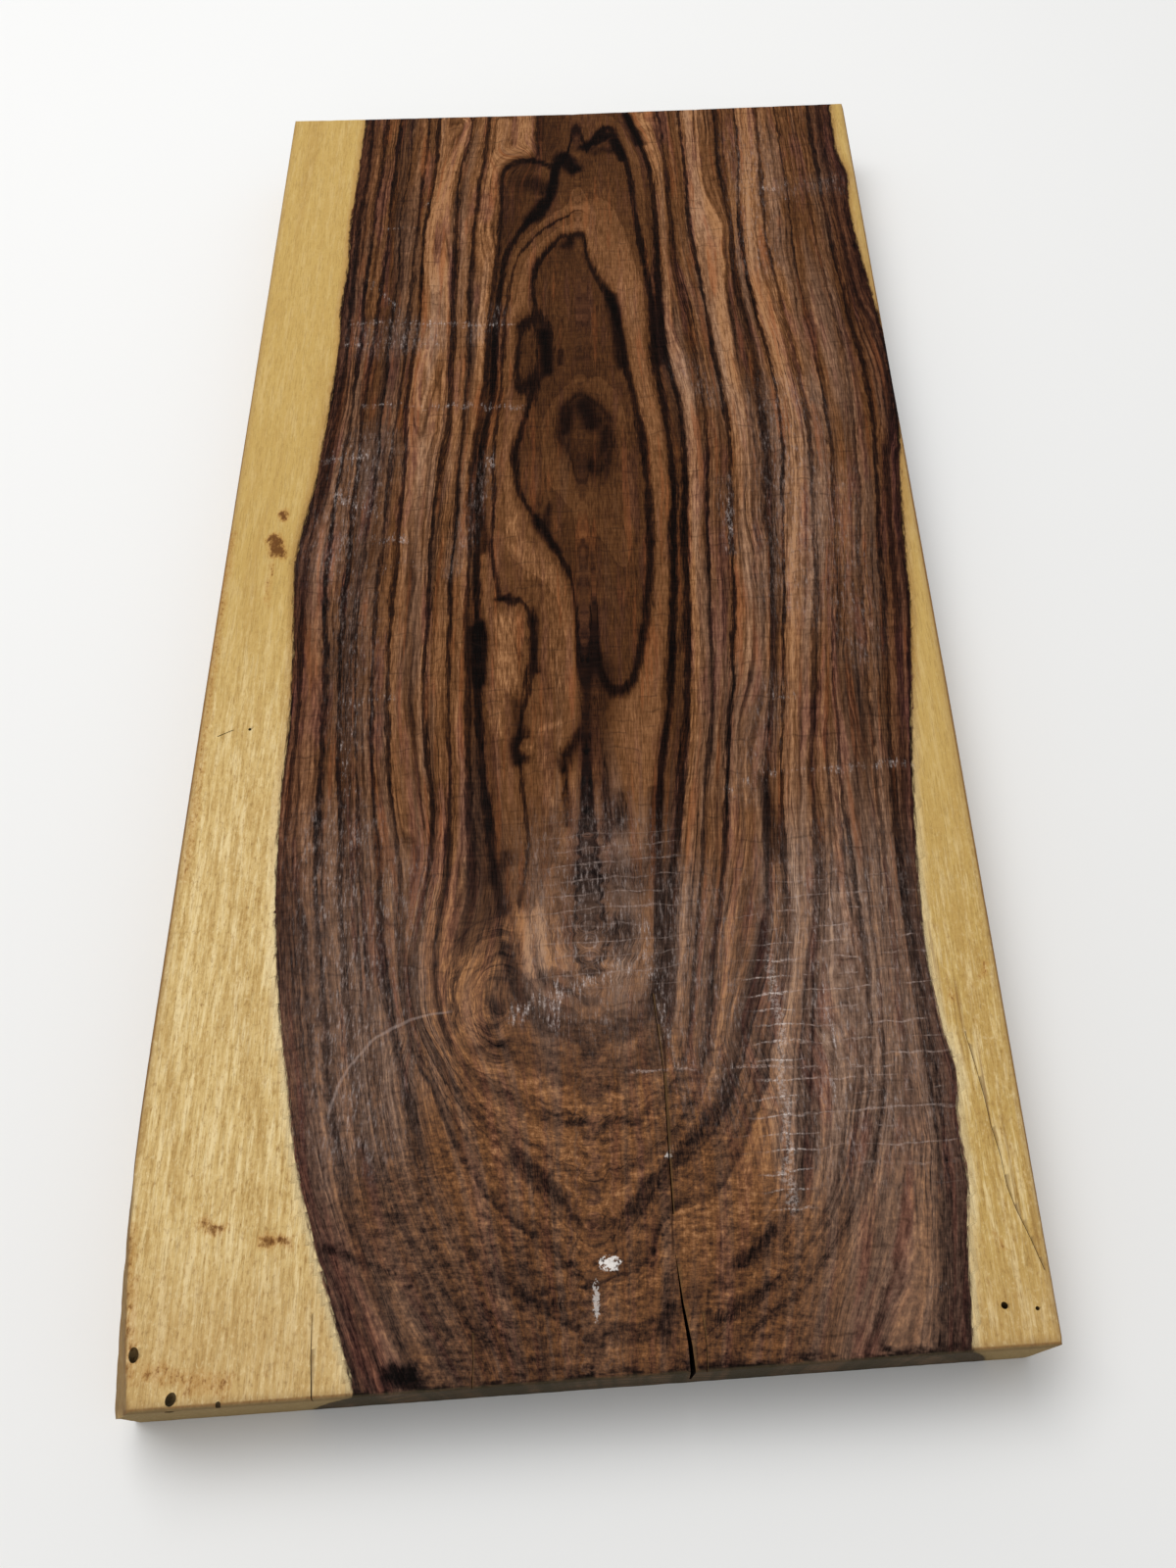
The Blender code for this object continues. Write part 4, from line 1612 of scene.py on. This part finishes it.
@dataclass
class KingwoodFinish:
    """The kingwood itself: figure, fibres, pores, sapwood, saw marks, scratches and dust, with painted
    glare, sheen, glints and shade in its cuts.
    """

    sap: SapTones = SapTones()
    wear: WearAndPaintedLightTones = WearAndPaintedLightTones()
    ring_span: float = 128.0
    width_span: float = 3.0
    knot: Point = (-17.5, 79.0)
    scratch_middle: Point = (-27.6, 49.2)
    scratch_radius: float = 26.6
    level_scratch_y: float = 61.4
    chalk_x: float = 44.0
    middle_crack_x: float = 19.1
    specular: float = 0.03
    index_of_refraction: float = 1.5
    relief_strength: float = 0.6
    relief_depth: float = 0.0005
    dust: tuple[tuple[Point, Point, float], ...] = (
        ((6.2, 21.6), (2.3, 1.5), 0.9), ((3.2, 14.5), (0.8, 4.0), 0.45), ((18.9, 43.0), (0.8, 0.8), 0.5))

    def make(self) -> bpy.types.Material:
        """Build the material.

        Returns:
            The kingwood finish.
        """
        material = bpy.data.materials.new("kingwood")
        bench = Bench(material)
        self.bench = bench
        coords = bench.node("ShaderNodeTexCoord", {}, {}, "Object")
        axes = bench.node("ShaderNodeSeparateXYZ", {}, {0: coords})
        outputs = axes.socket.node.outputs
        self.x = Wire(bench, outputs[0]) / MM
        self.y = (Wire(bench, outputs[1]) - NEAR_END_Y) / MM
        self.z = Wire(bench, outputs[2]) / MM
        self.values = {name: bench.attribute(name) for name in Attribute}
        flow = self.values[Attribute.FLOW]
        self.torn = self.values[Attribute.TORN]
        self.low = self.y.step(135.0, 75.0)
        self.top = self.z.step(20.0, 22.5)
        self.strands = bench.noise(flow * 0.75, self.y * 0.022, self.z * 0.5, 3.0, 0.62) - 0.5
        self.grain = bench.noise(flow * 2.3, self.y * 0.26, self.z * 1.6, 3.0, 0.7) - 0.5
        self.pores = bench.noise(flow * 3.6, self.y * 0.2, self.z * 2.4, 1.0, 0.5)
        self.tears = bench.noise(self.x * 0.22, self.y * 0.74 + self.x * 0.03, self.z * 0.5, 3.0, 0.76) - 0.5
        self.cloud = bench.noise(self.x / 14, self.y / 36, 1.0, 3.0) - 0.5
        self.mottle = bench.noise(self.x * 0.72, self.y * 0.065, self.z * 0.4, 4.0, 0.72)
        self.dashes = bench.noise(self.x * 1.7, self.y * 0.34, self.z * 0.9 + 5.0, 3.0, 0.7)
        self.blot = bench.noise(self.x, self.y * 0.62, self.z, 3.0, 0.74) - 0.5
        self.broken = bench.noise(self.x * 0.11, self.y * 0.32, 3.0, 3.0, 0.7)
        self.wander = bench.noise(self.x * 0.06, self.y * 0.11, 6.0, 3.0, 0.6) - 0.5
        heart_colour = self._heartwood()
        sap_colour = self._sapwood()
        depth_in = self.values[Attribute.HEART] + self.grain * 2.2 + self.strands * 1.2
        in_heart = depth_in.step(-0.4, 0.5)
        colour = bench.mix(in_heart, sap_colour, heart_colour)
        colour = self._sawn(colour, in_heart)
        colour = self._scratched(colour)
        colour = self._end_grained(colour, in_heart)
        # The walls of the checks and holes are painted near black: painted shade inside them
        colour = bench.layered(
            colour, (self.values[Attribute.WANE] * (0.25 + 0.9 * self.mottle), self.wear.bark),
            (self.values[Attribute.CUT_WALL] * (0.80 + 0.14 * in_heart), self.wear.cut_wall))
        shader = bench.node("ShaderNodeBsdfPrincipled", {}, {
            "Base Color": colour, "Roughness": self._roughness(in_heart), "Normal": self._relief(),
            "Metallic": 0.0, "Specular IOR Level": self.specular, "IOR": self.index_of_refraction})
        surface = bench.tree.nodes.new("ShaderNodeOutputMaterial").inputs["Surface"]
        bench.tree.links.new(shader.socket, surface)
        bench.sweep()
        return material

    def _line_cover(self, side: Side, ring: Wire, pitch: Wire) -> Wire:
        """How strongly the dark growth lines of one side cover the wood.

        Each line is sharp on its inner side and fades away outwards, and near the low end, where
        the saw met the rings at a slant, all of them are broad and soft.

        Args:
            side: the half of the board.
            ring: the ring value.
            pitch: how many rings there are to a mm.

        Returns:
            The cover, from 0 to 1.
        """
        lines = DARK_LINES[side]
        stops = []
        for index, line in enumerate(lines):
            start = 0.0 if index == 0 else (lines[index - 1].ring + line.ring) / 2
            stops.append((start / self.ring_span,
                          (line.ring / self.ring_span, line.half_width / self.width_span, line.strength)))
        looked_up = self.bench.ramp(ring / self.ring_span, stops, "CONSTANT")
        split = self.bench.node("ShaderNodeSeparateColor", {}, {0: looked_up}).socket.node
        centre, width, strength = (Wire(self.bench, split.outputs[index]) for index in range(3))
        offset = (ring - centre * self.ring_span) / pitch
        gap = abs(offset) + self.grain * 1.5
        swell = (width * self.width_span * (0.35 + 1.3 * self.patch)
                 * (1.0 + 0.7 * self.low + 1.6 * self.torn))
        core = (gap / swell).step(1.7, 0.35)
        halo = (offset.larger(0.0) + self.grain * 1.2).step(3.0, 0.2) * 0.26
        faded = 1.0 - 0.40 * self.low - 0.22 * self.torn
        return (core * faded * (0.55 + 0.75 * self.patch)).larger(halo) * strength

    def _lightness(self) -> Wire:
        """How light the heartwood is, from its growth lines, fibres, marks and tears.

        Returns:
            The lightness, from 0 to 1.
        """
        bench, values = self.bench, self.values
        flow, pitch = values[Attribute.FLOW], values[Attribute.PITCH]
        waver = bench.noise(flow * 0.25, self.y * 0.045, self.z * 0.1, 3.0, 0.65) - 0.5
        self.patch = bench.noise(flow * 0.12, self.y * 0.03, 3.0, 3.0)
        ring = values[Attribute.RING] + waver * pitch * 3.2
        self.right = (self.x - 4.0).step(-5.0, 5.0)
        tones = []
        for side in Side:
            stops = [(place / self.ring_span, (tone, tone, tone)) for place, tone in LIGHTNESS[side]]
            tones.append(bench.ramp(ring / self.ring_span, stops))
        lightness = bench.mix(self.right, tones[0], tones[1])
        cover = bench.mix(self.right, self._line_cover(Side.LEFT, ring, pitch),
                          self._line_cover(Side.RIGHT, ring, pitch))
        outer = values[Attribute.RING].step(27.0, 36.0)
        broad = bench.noise(ring * 0.36, self.y * 0.005, 9.0, 2.0, 0.7)
        thin = bench.noise(ring * 1.05, self.y * 0.008, 14.0, 2.0, 0.7)
        fine = bench.noise(ring * 2.3, self.y * 0.011, 27.0, 1.0, 0.6)
        lines = broad.step(0.50, 0.66) * 0.36 + thin.step(0.52, 0.66) * 0.34
        lines = (lines + fine.step(0.52, 0.68) * 0.22) * outer
        weft = bench.noise(self.x * 0.14, self.y * 1.15, 30.0, 2.0, 0.6) - 0.5
        calm = (self.y.step(235.0, 115.0) * outer).larger(self.y.step(84.0, 70.0)) * 0.6
        lightness = lightness + (0.64 - lightness) * calm + 0.07 + outer * 0.08
        lightness = lightness * (1.0 - lines * (1.0 - self.torn * 0.5))
        lightness = lightness + self.strands * (0.22 + 0.40 * outer) + self.cloud * 0.34
        # On the torn grain the lightness follows the tears of its relief: painted highlight on the ridges,
        # painted shade in the hollows
        torn_tone = 0.51 + self.tears * 1.8 + self.blot * 0.38 + (lightness - 0.66) * 0.80
        lightness = lightness + (torn_tone - lightness) * (self.torn * 0.9)
        shade = values[Attribute.SHADE]
        pale = (-shade + self.grain * 0.8).step(0.0, 0.9)
        lightness = lightness * (1.0 - cover * (0.92 - self.torn * 0.5) * (1.0 - pale * 0.7))
        fringe = abs(shade).step(0.0, 0.25)
        dark = (shade + (self.grain * 1.4 + self.cloud * 0.6) * fringe).step(0.10, 0.85)
        lightness = lightness * (1.0 - dark * 0.90) + pale * fringe * 0.34 + self._knot() * 1.5
        lightness = lightness + weft * (0.20 - self.torn * 0.16)
        lightness = lightness * (1.0 - values[Attribute.RIM] * self.broken.step(0.42, 0.62) * 0.8)
        lightness = lightness + self.grain * (0.30 + lightness * 0.85) * (1.0 - self.torn * 0.85)
        grit = self.blot * self.y.step(110.0, 50.0) * (0.60 + self.torn * 0.15)
        lightness = lightness + grit + self.low * 0.03 - self.y.step(36.0, 8.0) * 0.10
        return (lightness - self.pores.step(0.56, 0.70) * (0.10 - self.torn * 0.09)).clamped()

    def _knot(self) -> Wire:
        """The curled fibres of the small knot.

        Returns:
            How much lighter or darker than the wood they are.
        """
        bench = self.bench
        bend = bench.noise(self.x * 0.12, self.y * 0.12, 4.0, 2.0) - 0.5
        across = (self.x - self.knot[0]) * 0.95 + self.grain * 1.5 + bend * 9.0
        reach = bench.length(bench.vector(across, (self.y - self.knot[1]) * 0.66))
        curl = bench.noise(reach * 0.95, (self.y - self.x) * 0.03, 2.0, 3.0, 0.75) - 0.5
        return curl * reach.step(14.5, 10.5) * reach.step(1.5, 4.0) * self.x.step(-12.0, -18.0) * self.top

    def _heartwood(self) -> Wire:
        """The heartwood's colour.

        Returns:
            The colour, without saw marks and wear.
        """
        bench, values = self.bench, self.values
        flow = values[Attribute.FLOW]
        lightness = self._lightness()
        inner = values[Attribute.RING].step(40.0, 24.0)
        tint = bench.noise(flow * 0.22, self.y * 0.014, self.z * 0.1 + 4.0, 3.0, 0.6)
        blush = bench.noise(flow * 0.3, self.y * 0.03, self.z * 0.1 + 11.0, 3.0, 0.6)
        # The painted glare also makes the colour greyer and cooler
        coolness = tint.step(0.40, 0.68) * 0.55 + values[Attribute.HAZE] * 0.50 + self.low * 0.36
        coolness = coolness + (0.62 - lightness) * self.low * 1.3
        coolness = coolness + self.x.step(35.0, 62.0) * self.y.step(190.0, 90.0) * 0.30 - self.torn * 0.34
        coolness = coolness + self.x.step(-45.0, -60.0) * self.y.step(200.0, 130.0) * 0.14
        coolness = coolness - self.y.step(290.0, 390.0) * 0.25
        coolness = (coolness - inner * self.y.step(120.0, 150.0) * 0.42).clamped()
        colour = bench.mix(coolness, WARM_TONES.looked_up(bench, lightness),
                           COOL_TONES.looked_up(bench, lightness))
        plum = (blush.step(0.50, 0.68) * 0.6 * (1.0 - inner * 0.5 - self.torn * 0.5)
                + values[Attribute.RING].step(84.0, 96.0) * (0.35 - self.low * 0.15))
        colour = bench.mix(plum, colour, PLUM_TONES.looked_up(bench, lightness))
        orange = bench.noise(flow * 0.45, self.y * 0.03, self.z * 0.1 + 21.0, 2.0, 0.6)
        orange = orange.step(0.56, 0.70) * lightness * 0.5 * (1.0 - self.low * 0.85)
        # Painted glare: whitish grey reflected light laid in specks over the heartwood
        haze = values[Attribute.HAZE] * self.dashes.step(0.44, 0.70) * 0.42
        return bench.layered(colour, (orange, self.wear.orange_fibre), (haze, self.wear.haze))

    def _sapwood(self) -> Wire:
        """The sapwood's colour.

        Returns:
            The colour, without saw marks and wear.
        """
        bench, values, sap = self.bench, self.values, self.sap
        mottle, dashes, blot = self.mottle, self.dashes, self.blot
        near = self.y.step(210.0, 110.0) * self.x.step(20.0, -20.0)
        bands = bench.noise(values[Attribute.RING] * 0.16, self.y * 0.006, 8.0, 2.0, 0.6)
        busy = 0.22 + 0.78 * near.larger(self.y.step(150.0, 60.0) * 0.85)
        rim = (values[Attribute.HEART] + self.strands * 3.0).step(-2.6, 0.3)
        worn = values[Attribute.RIM].step(0.80, 0.97) * self.top
        stain = values[Attribute.STAIN]
        blushed = (stain + blot).step(0.05, 0.9) * stain.step(0.02, 0.2)
        stained = (stain + blot * 1.6).step(0.42, 0.95) * stain.step(0.05, 0.4)
        return bench.layered(
            bench.mix(near * 0.9, linear(sap.far), linear(sap.near)),
            (bands.step(0.50, 0.72) * 0.35, sap.tan),
            (mottle.step(0.47, 0.64) * busy * 0.62, sap.cream),
            (mottle.step(0.50, 0.34) * busy * 0.62, sap.tan),
            (dashes.step(0.52, 0.66) * (0.10 + 0.42 * busy), sap.tan),
            (dashes.step(0.64, 0.74) * busy * 0.5, sap.brown),
            (self.pores.step(0.58, 0.70) * 0.34, sap.tan),
            (self.strands.step(0.05, 0.25) * 0.3, sap.tan),
            (self.y.step(34.0, 4.0) * 0.38, sap.low_end),
            (rim * 0.5 * self.y.step(95.0, 170.0), sap.rim),
            (rim * 0.7 * self.y.step(170.0, 95.0) * self.top, sap.frayed),
            (values[Attribute.RIM] * (0.35 + 0.6 * mottle), sap.edge),
            (blot.step(0.02, 0.22) * busy * 0.40, sap.brown),
            (blot.step(-0.03, -0.20) * busy * 0.35, sap.cream),
            (worn * (0.25 + 0.9 * mottle), sap.arris),
            (blushed * 0.7, sap.blush),
            (stained * 0.9, sap.stain))

    def _off_middle(self, drift: Wire) -> Wire:
        """How far each place is from the middle between two saw marks, as a part of their distance.

        Args:
            drift: how far the marks stray, as a part of their distance.

        Returns:
            The distance, 0 in the middle and 0.5 on a mark.
        """
        phase = (self.y - self.x * SAW_SLANT) / RIPPLE_PITCH + drift
        return abs(self.bench.node("ShaderNodeMath", {"operation": "FRACT"}, {0: phase}) - 0.5)

    def _sawn(self, colour: Wire, in_heart: Wire) -> Wire:
        """Add the faint cross lines that the saw left over the whole face, and those on the sides.

        Args:
            colour: the wood's colour.
            in_heart: 1 in the heartwood, 0 in the sapwood.

        Returns:
            The colour with the saw's lines.
        """
        bench, wear = self.bench, self.wear
        side = abs(self.x).step(93.2, 94.2) * self.z.step(23.6, 22.8)
        patchy = self.cloud + 0.5
        fibre = bench.noise(self.x * 0.01, self.y * 0.05, self.z * 1.5, 2.0, 0.7)
        slanted = self.y * 0.5 + self.z * 0.06
        upright = bench.noise(self.x * 0.02, slanted, self.z * 0.05, 2.0, 0.72)
        line = self._off_middle(self.cloud * 3.0).step(0.12, 0.02) * self.broken.step(0.44, 0.66)
        return bench.layered(
            colour, (side * fibre.step(0.50, 0.68) * 0.34, wear.side_fibre),
            (side * upright.step(0.52, 0.68) * patchy.step(0.40, 0.58) * 0.34, wear.side_line),
            (side * patchy.step(0.46, 0.68) * 0.30, wear.side_patch),
            (line * (0.03 + 0.33 * in_heart) * self.top, wear.saw_line))

    def _scratched(self, colour: Wire) -> Wire:
        """Add the polished crests of the saw ripples, partly wax and partly painted highlight, the painted
        sheen and glints, scratches, dust, torn fibres and the painted shade in the middle crack.

        Args:
            colour: the wood's colour.

        Returns:
            The colour with all wear.
        """
        bench, values, wear = self.bench, self.values, self.wear
        wander, broken = self.wander, self.broken
        fleck = bench.noise(self.x * 1.3, self.y * 1.3, 1.0, 3.0, 0.7)
        speckled = 0.25 + fleck.step(0.43, 0.62)
        line = self._off_middle(wander * 1.3).step(0.085, 0.01)
        middle = self.x.between((-12.0, -2.0), (20.0, 28.0)) * self.y.between((78.0, 84.0), (112.0, 128.0))
        right = self.x.between((30.0, 44.0), (76.0, 84.0)) * self.y.between((28.0, 50.0), (92.0, 118.0))
        # The saw ripples' crests are lighter: partly wax left on them, partly painted highlight
        crests = line * (middle * broken.step(0.34, 0.6) * 0.24 + right * broken.step(0.44, 0.60) * 0.34)
        # Painted sheen: bright specks of reflected light along the sheen marks
        painted_shine = (values[Attribute.SHEEN] + (self.dashes - 0.5) * 3.2).step(0.60, 1.7)
        painted_shine = painted_shine * values[Attribute.SHEEN].step(0.02, 0.3) * speckled * 0.85
        # Painted glints: bright specks of reflected light within the painted glare
        glints = values[Attribute.HAZE] * self.dashes.step(0.57, 0.71) * 0.35
        middle_x, middle_y = self.scratch_middle
        reach = bench.length(bench.vector(self.x - middle_x, self.y - middle_y))
        arc = abs(reach - self.scratch_radius + wander * 3.0).step(0.5, 0.08)
        arc = arc * self.x.step(-27.0, -30.0) * self.y.step(51.0, 55.0) * (0.1 + 0.9 * fleck)
        level = abs(self.y - self.level_scratch_y + wander * 3.5).step(0.45, 0.10)
        level = level * self.x.between((6.0, 14.0), (76.0, 83.0)) * broken.step(0.44, 0.60)
        level = level * (0.1 + fleck.step(0.42, 0.6))
        beside = abs(self.x - self.chalk_x + wander * 9.0)
        chalked = beside.step(1.5, 0.2) * 0.42 + beside.step(6.5, 1.0) * line * 0.62
        chalked = chalked * (0.05 + 0.85 * fleck.step(0.42, 0.62))
        chalked = chalked * self.y.between((28.0, 34.0), (80.0, 94.0))
        colour = bench.layered(
            colour, (crests * (0.15 + speckled) * self.top, wear.wax), (painted_shine, wear.painted_shine),
            (glints, wear.painted_glint), (arc * 0.44 * self.top, wear.wax), (level * 0.40 * self.top, wear.wax),
            (chalked * self.top, wear.chalk))
        return self._cracked(self._dusted(colour, fleck))

    def _dusted(self, colour: Wire, fleck: Wire) -> Wire:
        """Add the white dust in three places near the low end: a small heap, a smear and a speck.

        Args:
            colour: the wood's colour.
            fleck: fine noise.

        Returns:
            The colour with the dust.
        """
        for place, spread, strength in self.dust:
            offset = self.bench.vector((self.x - place[0]) / spread[0], (self.y - place[1]) / spread[1])
            reach = self.bench.length(offset)
            cover = (reach + (0.5 - fleck) * 3.6).step(1.0, 0.5) * reach.step(1.3, 0.9)
            colour = self.bench.layered(colour, (cover * strength * self.top, self.wear.dust))
        return colour

    def _cracked(self, colour: Wire) -> Wire:
        """Darken the fibres torn open beside the crack in the right sapwood, and paint shade along the
        middle crack.

        Args:
            colour: the wood's colour.

        Returns:
            The colour with both.
        """
        beside = self.x + self.y * 0.152 - 95.6 + self.wander * 2.2
        right = beside.step(3.0, 0.3) * beside.step(-3.4, -0.4) * self.strands.step(0.0, 0.14)
        right = right * self.y.between((15.0, 30.0), (84.0, 112.0))
        # Painted shade: a dark line along the middle crack
        bend = self.wander * 1.6 + self.y.step(66.0, 80.0) * 2.0
        middle = abs(self.x - self.middle_crack_x + bend).step(0.36, 0.08)
        middle = middle * self.y.between((20.0, 26.0), (70.0, 81.0))
        return self.bench.layered(colour, (right * 0.6 * self.top, self.wear.torn_sap),
                                  (middle * 0.75 * self.top, self.wear.hairline))

    def _end_grained(self, colour: Wire, in_heart: Wire) -> Wire:
        """Make the ends, where the grain is cut across, duller, greyer and darker.

        Args:
            colour: the wood's colour.
            in_heart: 1 in the heartwood, 0 in the sapwood.

        Returns:
            The colour with the dull ends.
        """
        bench = self.bench
        dull_end = bench.mix(in_heart, linear(self.wear.end_sap), linear(self.wear.end_heart))
        return bench.mix(self.values[Attribute.END] * (0.65 + 0.5 * self.blot), colour, dull_end)

    def _roughness(self, in_heart: Wire) -> Wire:
        """How dull each place is: the heart is waxy, and polished where it has been rubbed.

        Args:
            in_heart: 1 in the heartwood, 0 in the sapwood.

        Returns:
            The roughness.
        """
        values = self.values
        rubbed = values[Attribute.HAZE] * 0.16 + values[Attribute.SHEEN] * 0.12
        rough = 0.68 - in_heart * 0.10 - rubbed + self.grain * 0.4 + self.torn * 0.1
        return rough + values[Attribute.END] * 0.15

    def _relief(self) -> Wire:
        """The fine relief of fibres, pores and torn grain.

        Returns:
            The bumped normal.
        """
        height = self.grain * 0.6 - self.pores.step(0.56, 0.72) * 0.3
        height = height * (1.0 - self.torn * 0.8) + self.tears * self.torn * 2.4
        return self.bench.node("ShaderNodeBump", {}, {
            "Strength": self.relief_strength, "Distance": self.relief_depth, "Height": height})


def write_values(mesh: bpy.types.Mesh, values: dict[Attribute, np.ndarray]) -> None:
    """Store values on the mesh, where the finish reads them.

    Args:
        mesh: the mesh.
        values: an array for each attribute, one value for each vertex.
    """
    for name, array in values.items():
        layer = mesh.attributes.new(name.value, "FLOAT", "POINT")
        layer.data.foreach_set("value", array.astype(np.float32))


@dataclass(frozen=True)
class Dressing:
    """Where end grain, bark and worn edges lie: which way a face is turned and how near the edge it is."""

    end_turn: Point = (0.35, 0.8)
    end_reach: float = 1.0
    bark_outwards: Point = (0.35, 0.70)
    bark_upwards: Point = (0.12, 0.35)
    bark_fades: Point = (100.0, 260.0)
    bark_fade: float = 0.55
    rim_reach: Point = (0.3, 2.6)

    def dress(self, board: bpy.types.Object, sizes: SawnBoard) -> None:
        """Lay the figure over the board and give it its finish.

        Args:
            board: the finished board.
            sizes: the sizes it was made to.
        """
        mesh = board.data
        x, y, z = board_mm(read_places(mesh))
        values = Figure().values(x, y, np.clip(sizes.thickness - z, 0, None))
        out, along, up = read_vectors(mesh.vertices, "normal").T
        near_gap = y - sizes.near_line(x)
        at_end = np.minimum(near_gap, sizes.far_y - y) < self.end_reach
        values[Attribute.END] = smooth_step(np.abs(along), *self.end_turn) * at_end
        bark = smooth_step(-out, *self.bark_outwards) * smooth_step(up, *self.bark_upwards)
        values[Attribute.WANE] = bark * (1 - self.bark_fade * smooth_step(y, *self.bark_fades))
        to_side = sizes.width / 2 - np.abs(x)
        values[Attribute.RIM] = 1 - smooth_step(np.minimum(to_side, near_gap), *self.rim_reach)
        write_values(mesh, values)
        BakeSheet().apply(mesh, sizes)
        mesh.materials.clear()
        mesh.materials.append(KingwoodFinish().make())


@dataclass
class Studio:
    """A pale floor, soft light and the camera."""

    camera_place: tuple[float, float, float] = (0.007909, -0.218064, 0.300319)
    yaw: float = 0.029983
    pitch: float = 1.062012
    roll: float = 0.050982
    focal_pixels: float = 1319.47
    picture_height: float = 1600.0
    sensor: float = 36.0
    nearest: float = 0.01
    floor_reach: float = 30.0
    floor_colour: Colour = (0.86, 0.86, 0.85)
    floor_roughness: float = 0.9
    sky_strength: float = 0.5
    lamp_size: tuple[float, float] = (1.1, 0.8)
    lamp_power: float = 12.0
    lamp_place: tuple[float, float, float] = (-0.35, 0.35, 1.25)

    def build(self) -> None:
        """Make the floor, the lights and the camera."""
        self._floor()
        self._lights()
        self._camera()
        bpy.context.scene.view_settings.view_transform = "Standard"

    def _floor(self) -> None:
        """A wide pale floor under the board."""
        shape = bmesh.new()
        bmesh.ops.create_grid(shape, x_segments=1, y_segments=1, size=self.floor_reach)
        mesh = bpy.data.meshes.new("floor")
        shape.to_mesh(mesh)
        shape.free()
        floor = bpy.data.objects.new("floor", mesh)
        bpy.context.scene.collection.objects.link(floor)
        material = bpy.data.materials.new("pale_floor")
        material.use_nodes = True
        shader = material.node_tree.nodes["Principled BSDF"]
        shader.inputs["Base Color"].default_value = (*self.floor_colour, 1.0)
        shader.inputs["Roughness"].default_value = self.floor_roughness
        mesh.materials.append(material)

    def _lights(self) -> None:
        """Even light from all round, and one large soft lamp overhead."""
        world = bpy.data.worlds.new("studio")
        world.use_nodes = True
        background = world.node_tree.nodes["Background"]
        background.inputs["Color"].default_value = (1.0, 1.0, 1.0, 1.0)
        background.inputs["Strength"].default_value = self.sky_strength
        bpy.context.scene.world = world
        lamp = bpy.data.lights.new("overhead", "AREA")
        lamp.shape = "RECTANGLE"
        lamp.size, lamp.size_y = self.lamp_size
        lamp.energy = self.lamp_power
        lamp_object = bpy.data.objects.new("overhead", lamp)
        lamp_object.location = self.lamp_place
        lamp_object.rotation_euler = (-Vector(self.lamp_place)).to_track_quat("-Z", "Y").to_euler()
        bpy.context.scene.collection.objects.link(lamp_object)

    def _camera(self) -> None:
        """The camera, where the picture was taken from."""
        forward = Vector((-math.sin(self.yaw) * math.cos(self.pitch),
                          math.cos(self.yaw) * math.cos(self.pitch), -math.sin(self.pitch)))
        level = Vector((math.cos(self.yaw), math.sin(self.yaw), 0.0))
        plumb = forward.cross(level)
        right = math.cos(self.roll) * level + math.sin(self.roll) * plumb
        down = -math.sin(self.roll) * level + math.cos(self.roll) * plumb
        axes = Matrix((right, -down, -forward)).transposed().to_4x4()
        data = bpy.data.cameras.new("camera")
        data.sensor_fit = "VERTICAL"
        data.sensor_height = self.sensor
        data.lens = self.focal_pixels / self.picture_height * self.sensor
        data.clip_start = self.nearest
        camera = bpy.data.objects.new("camera", data)
        camera.matrix_world = Matrix.Translation(Vector(self.camera_place)) @ axes
        bpy.context.scene.collection.objects.link(camera)
        bpy.context.scene.camera = camera


def main() -> None:
    """Build the board and the studio."""
    logging.basicConfig(level=logging.INFO, format="%(name)s: %(message)s")
    sizes = SawnBoard()
    board = sizes.build()
    LOG.info("board: %d vertices, %d faces", len(board.data.vertices), len(board.data.polygons))
    Dressing().dress(board, sizes)
    LOG.info("board dressed")
    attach(board, "root")
    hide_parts("kingwood_block")
    Studio().build()
    LOG.info("studio built")


if __name__ == "__main__":
    main()
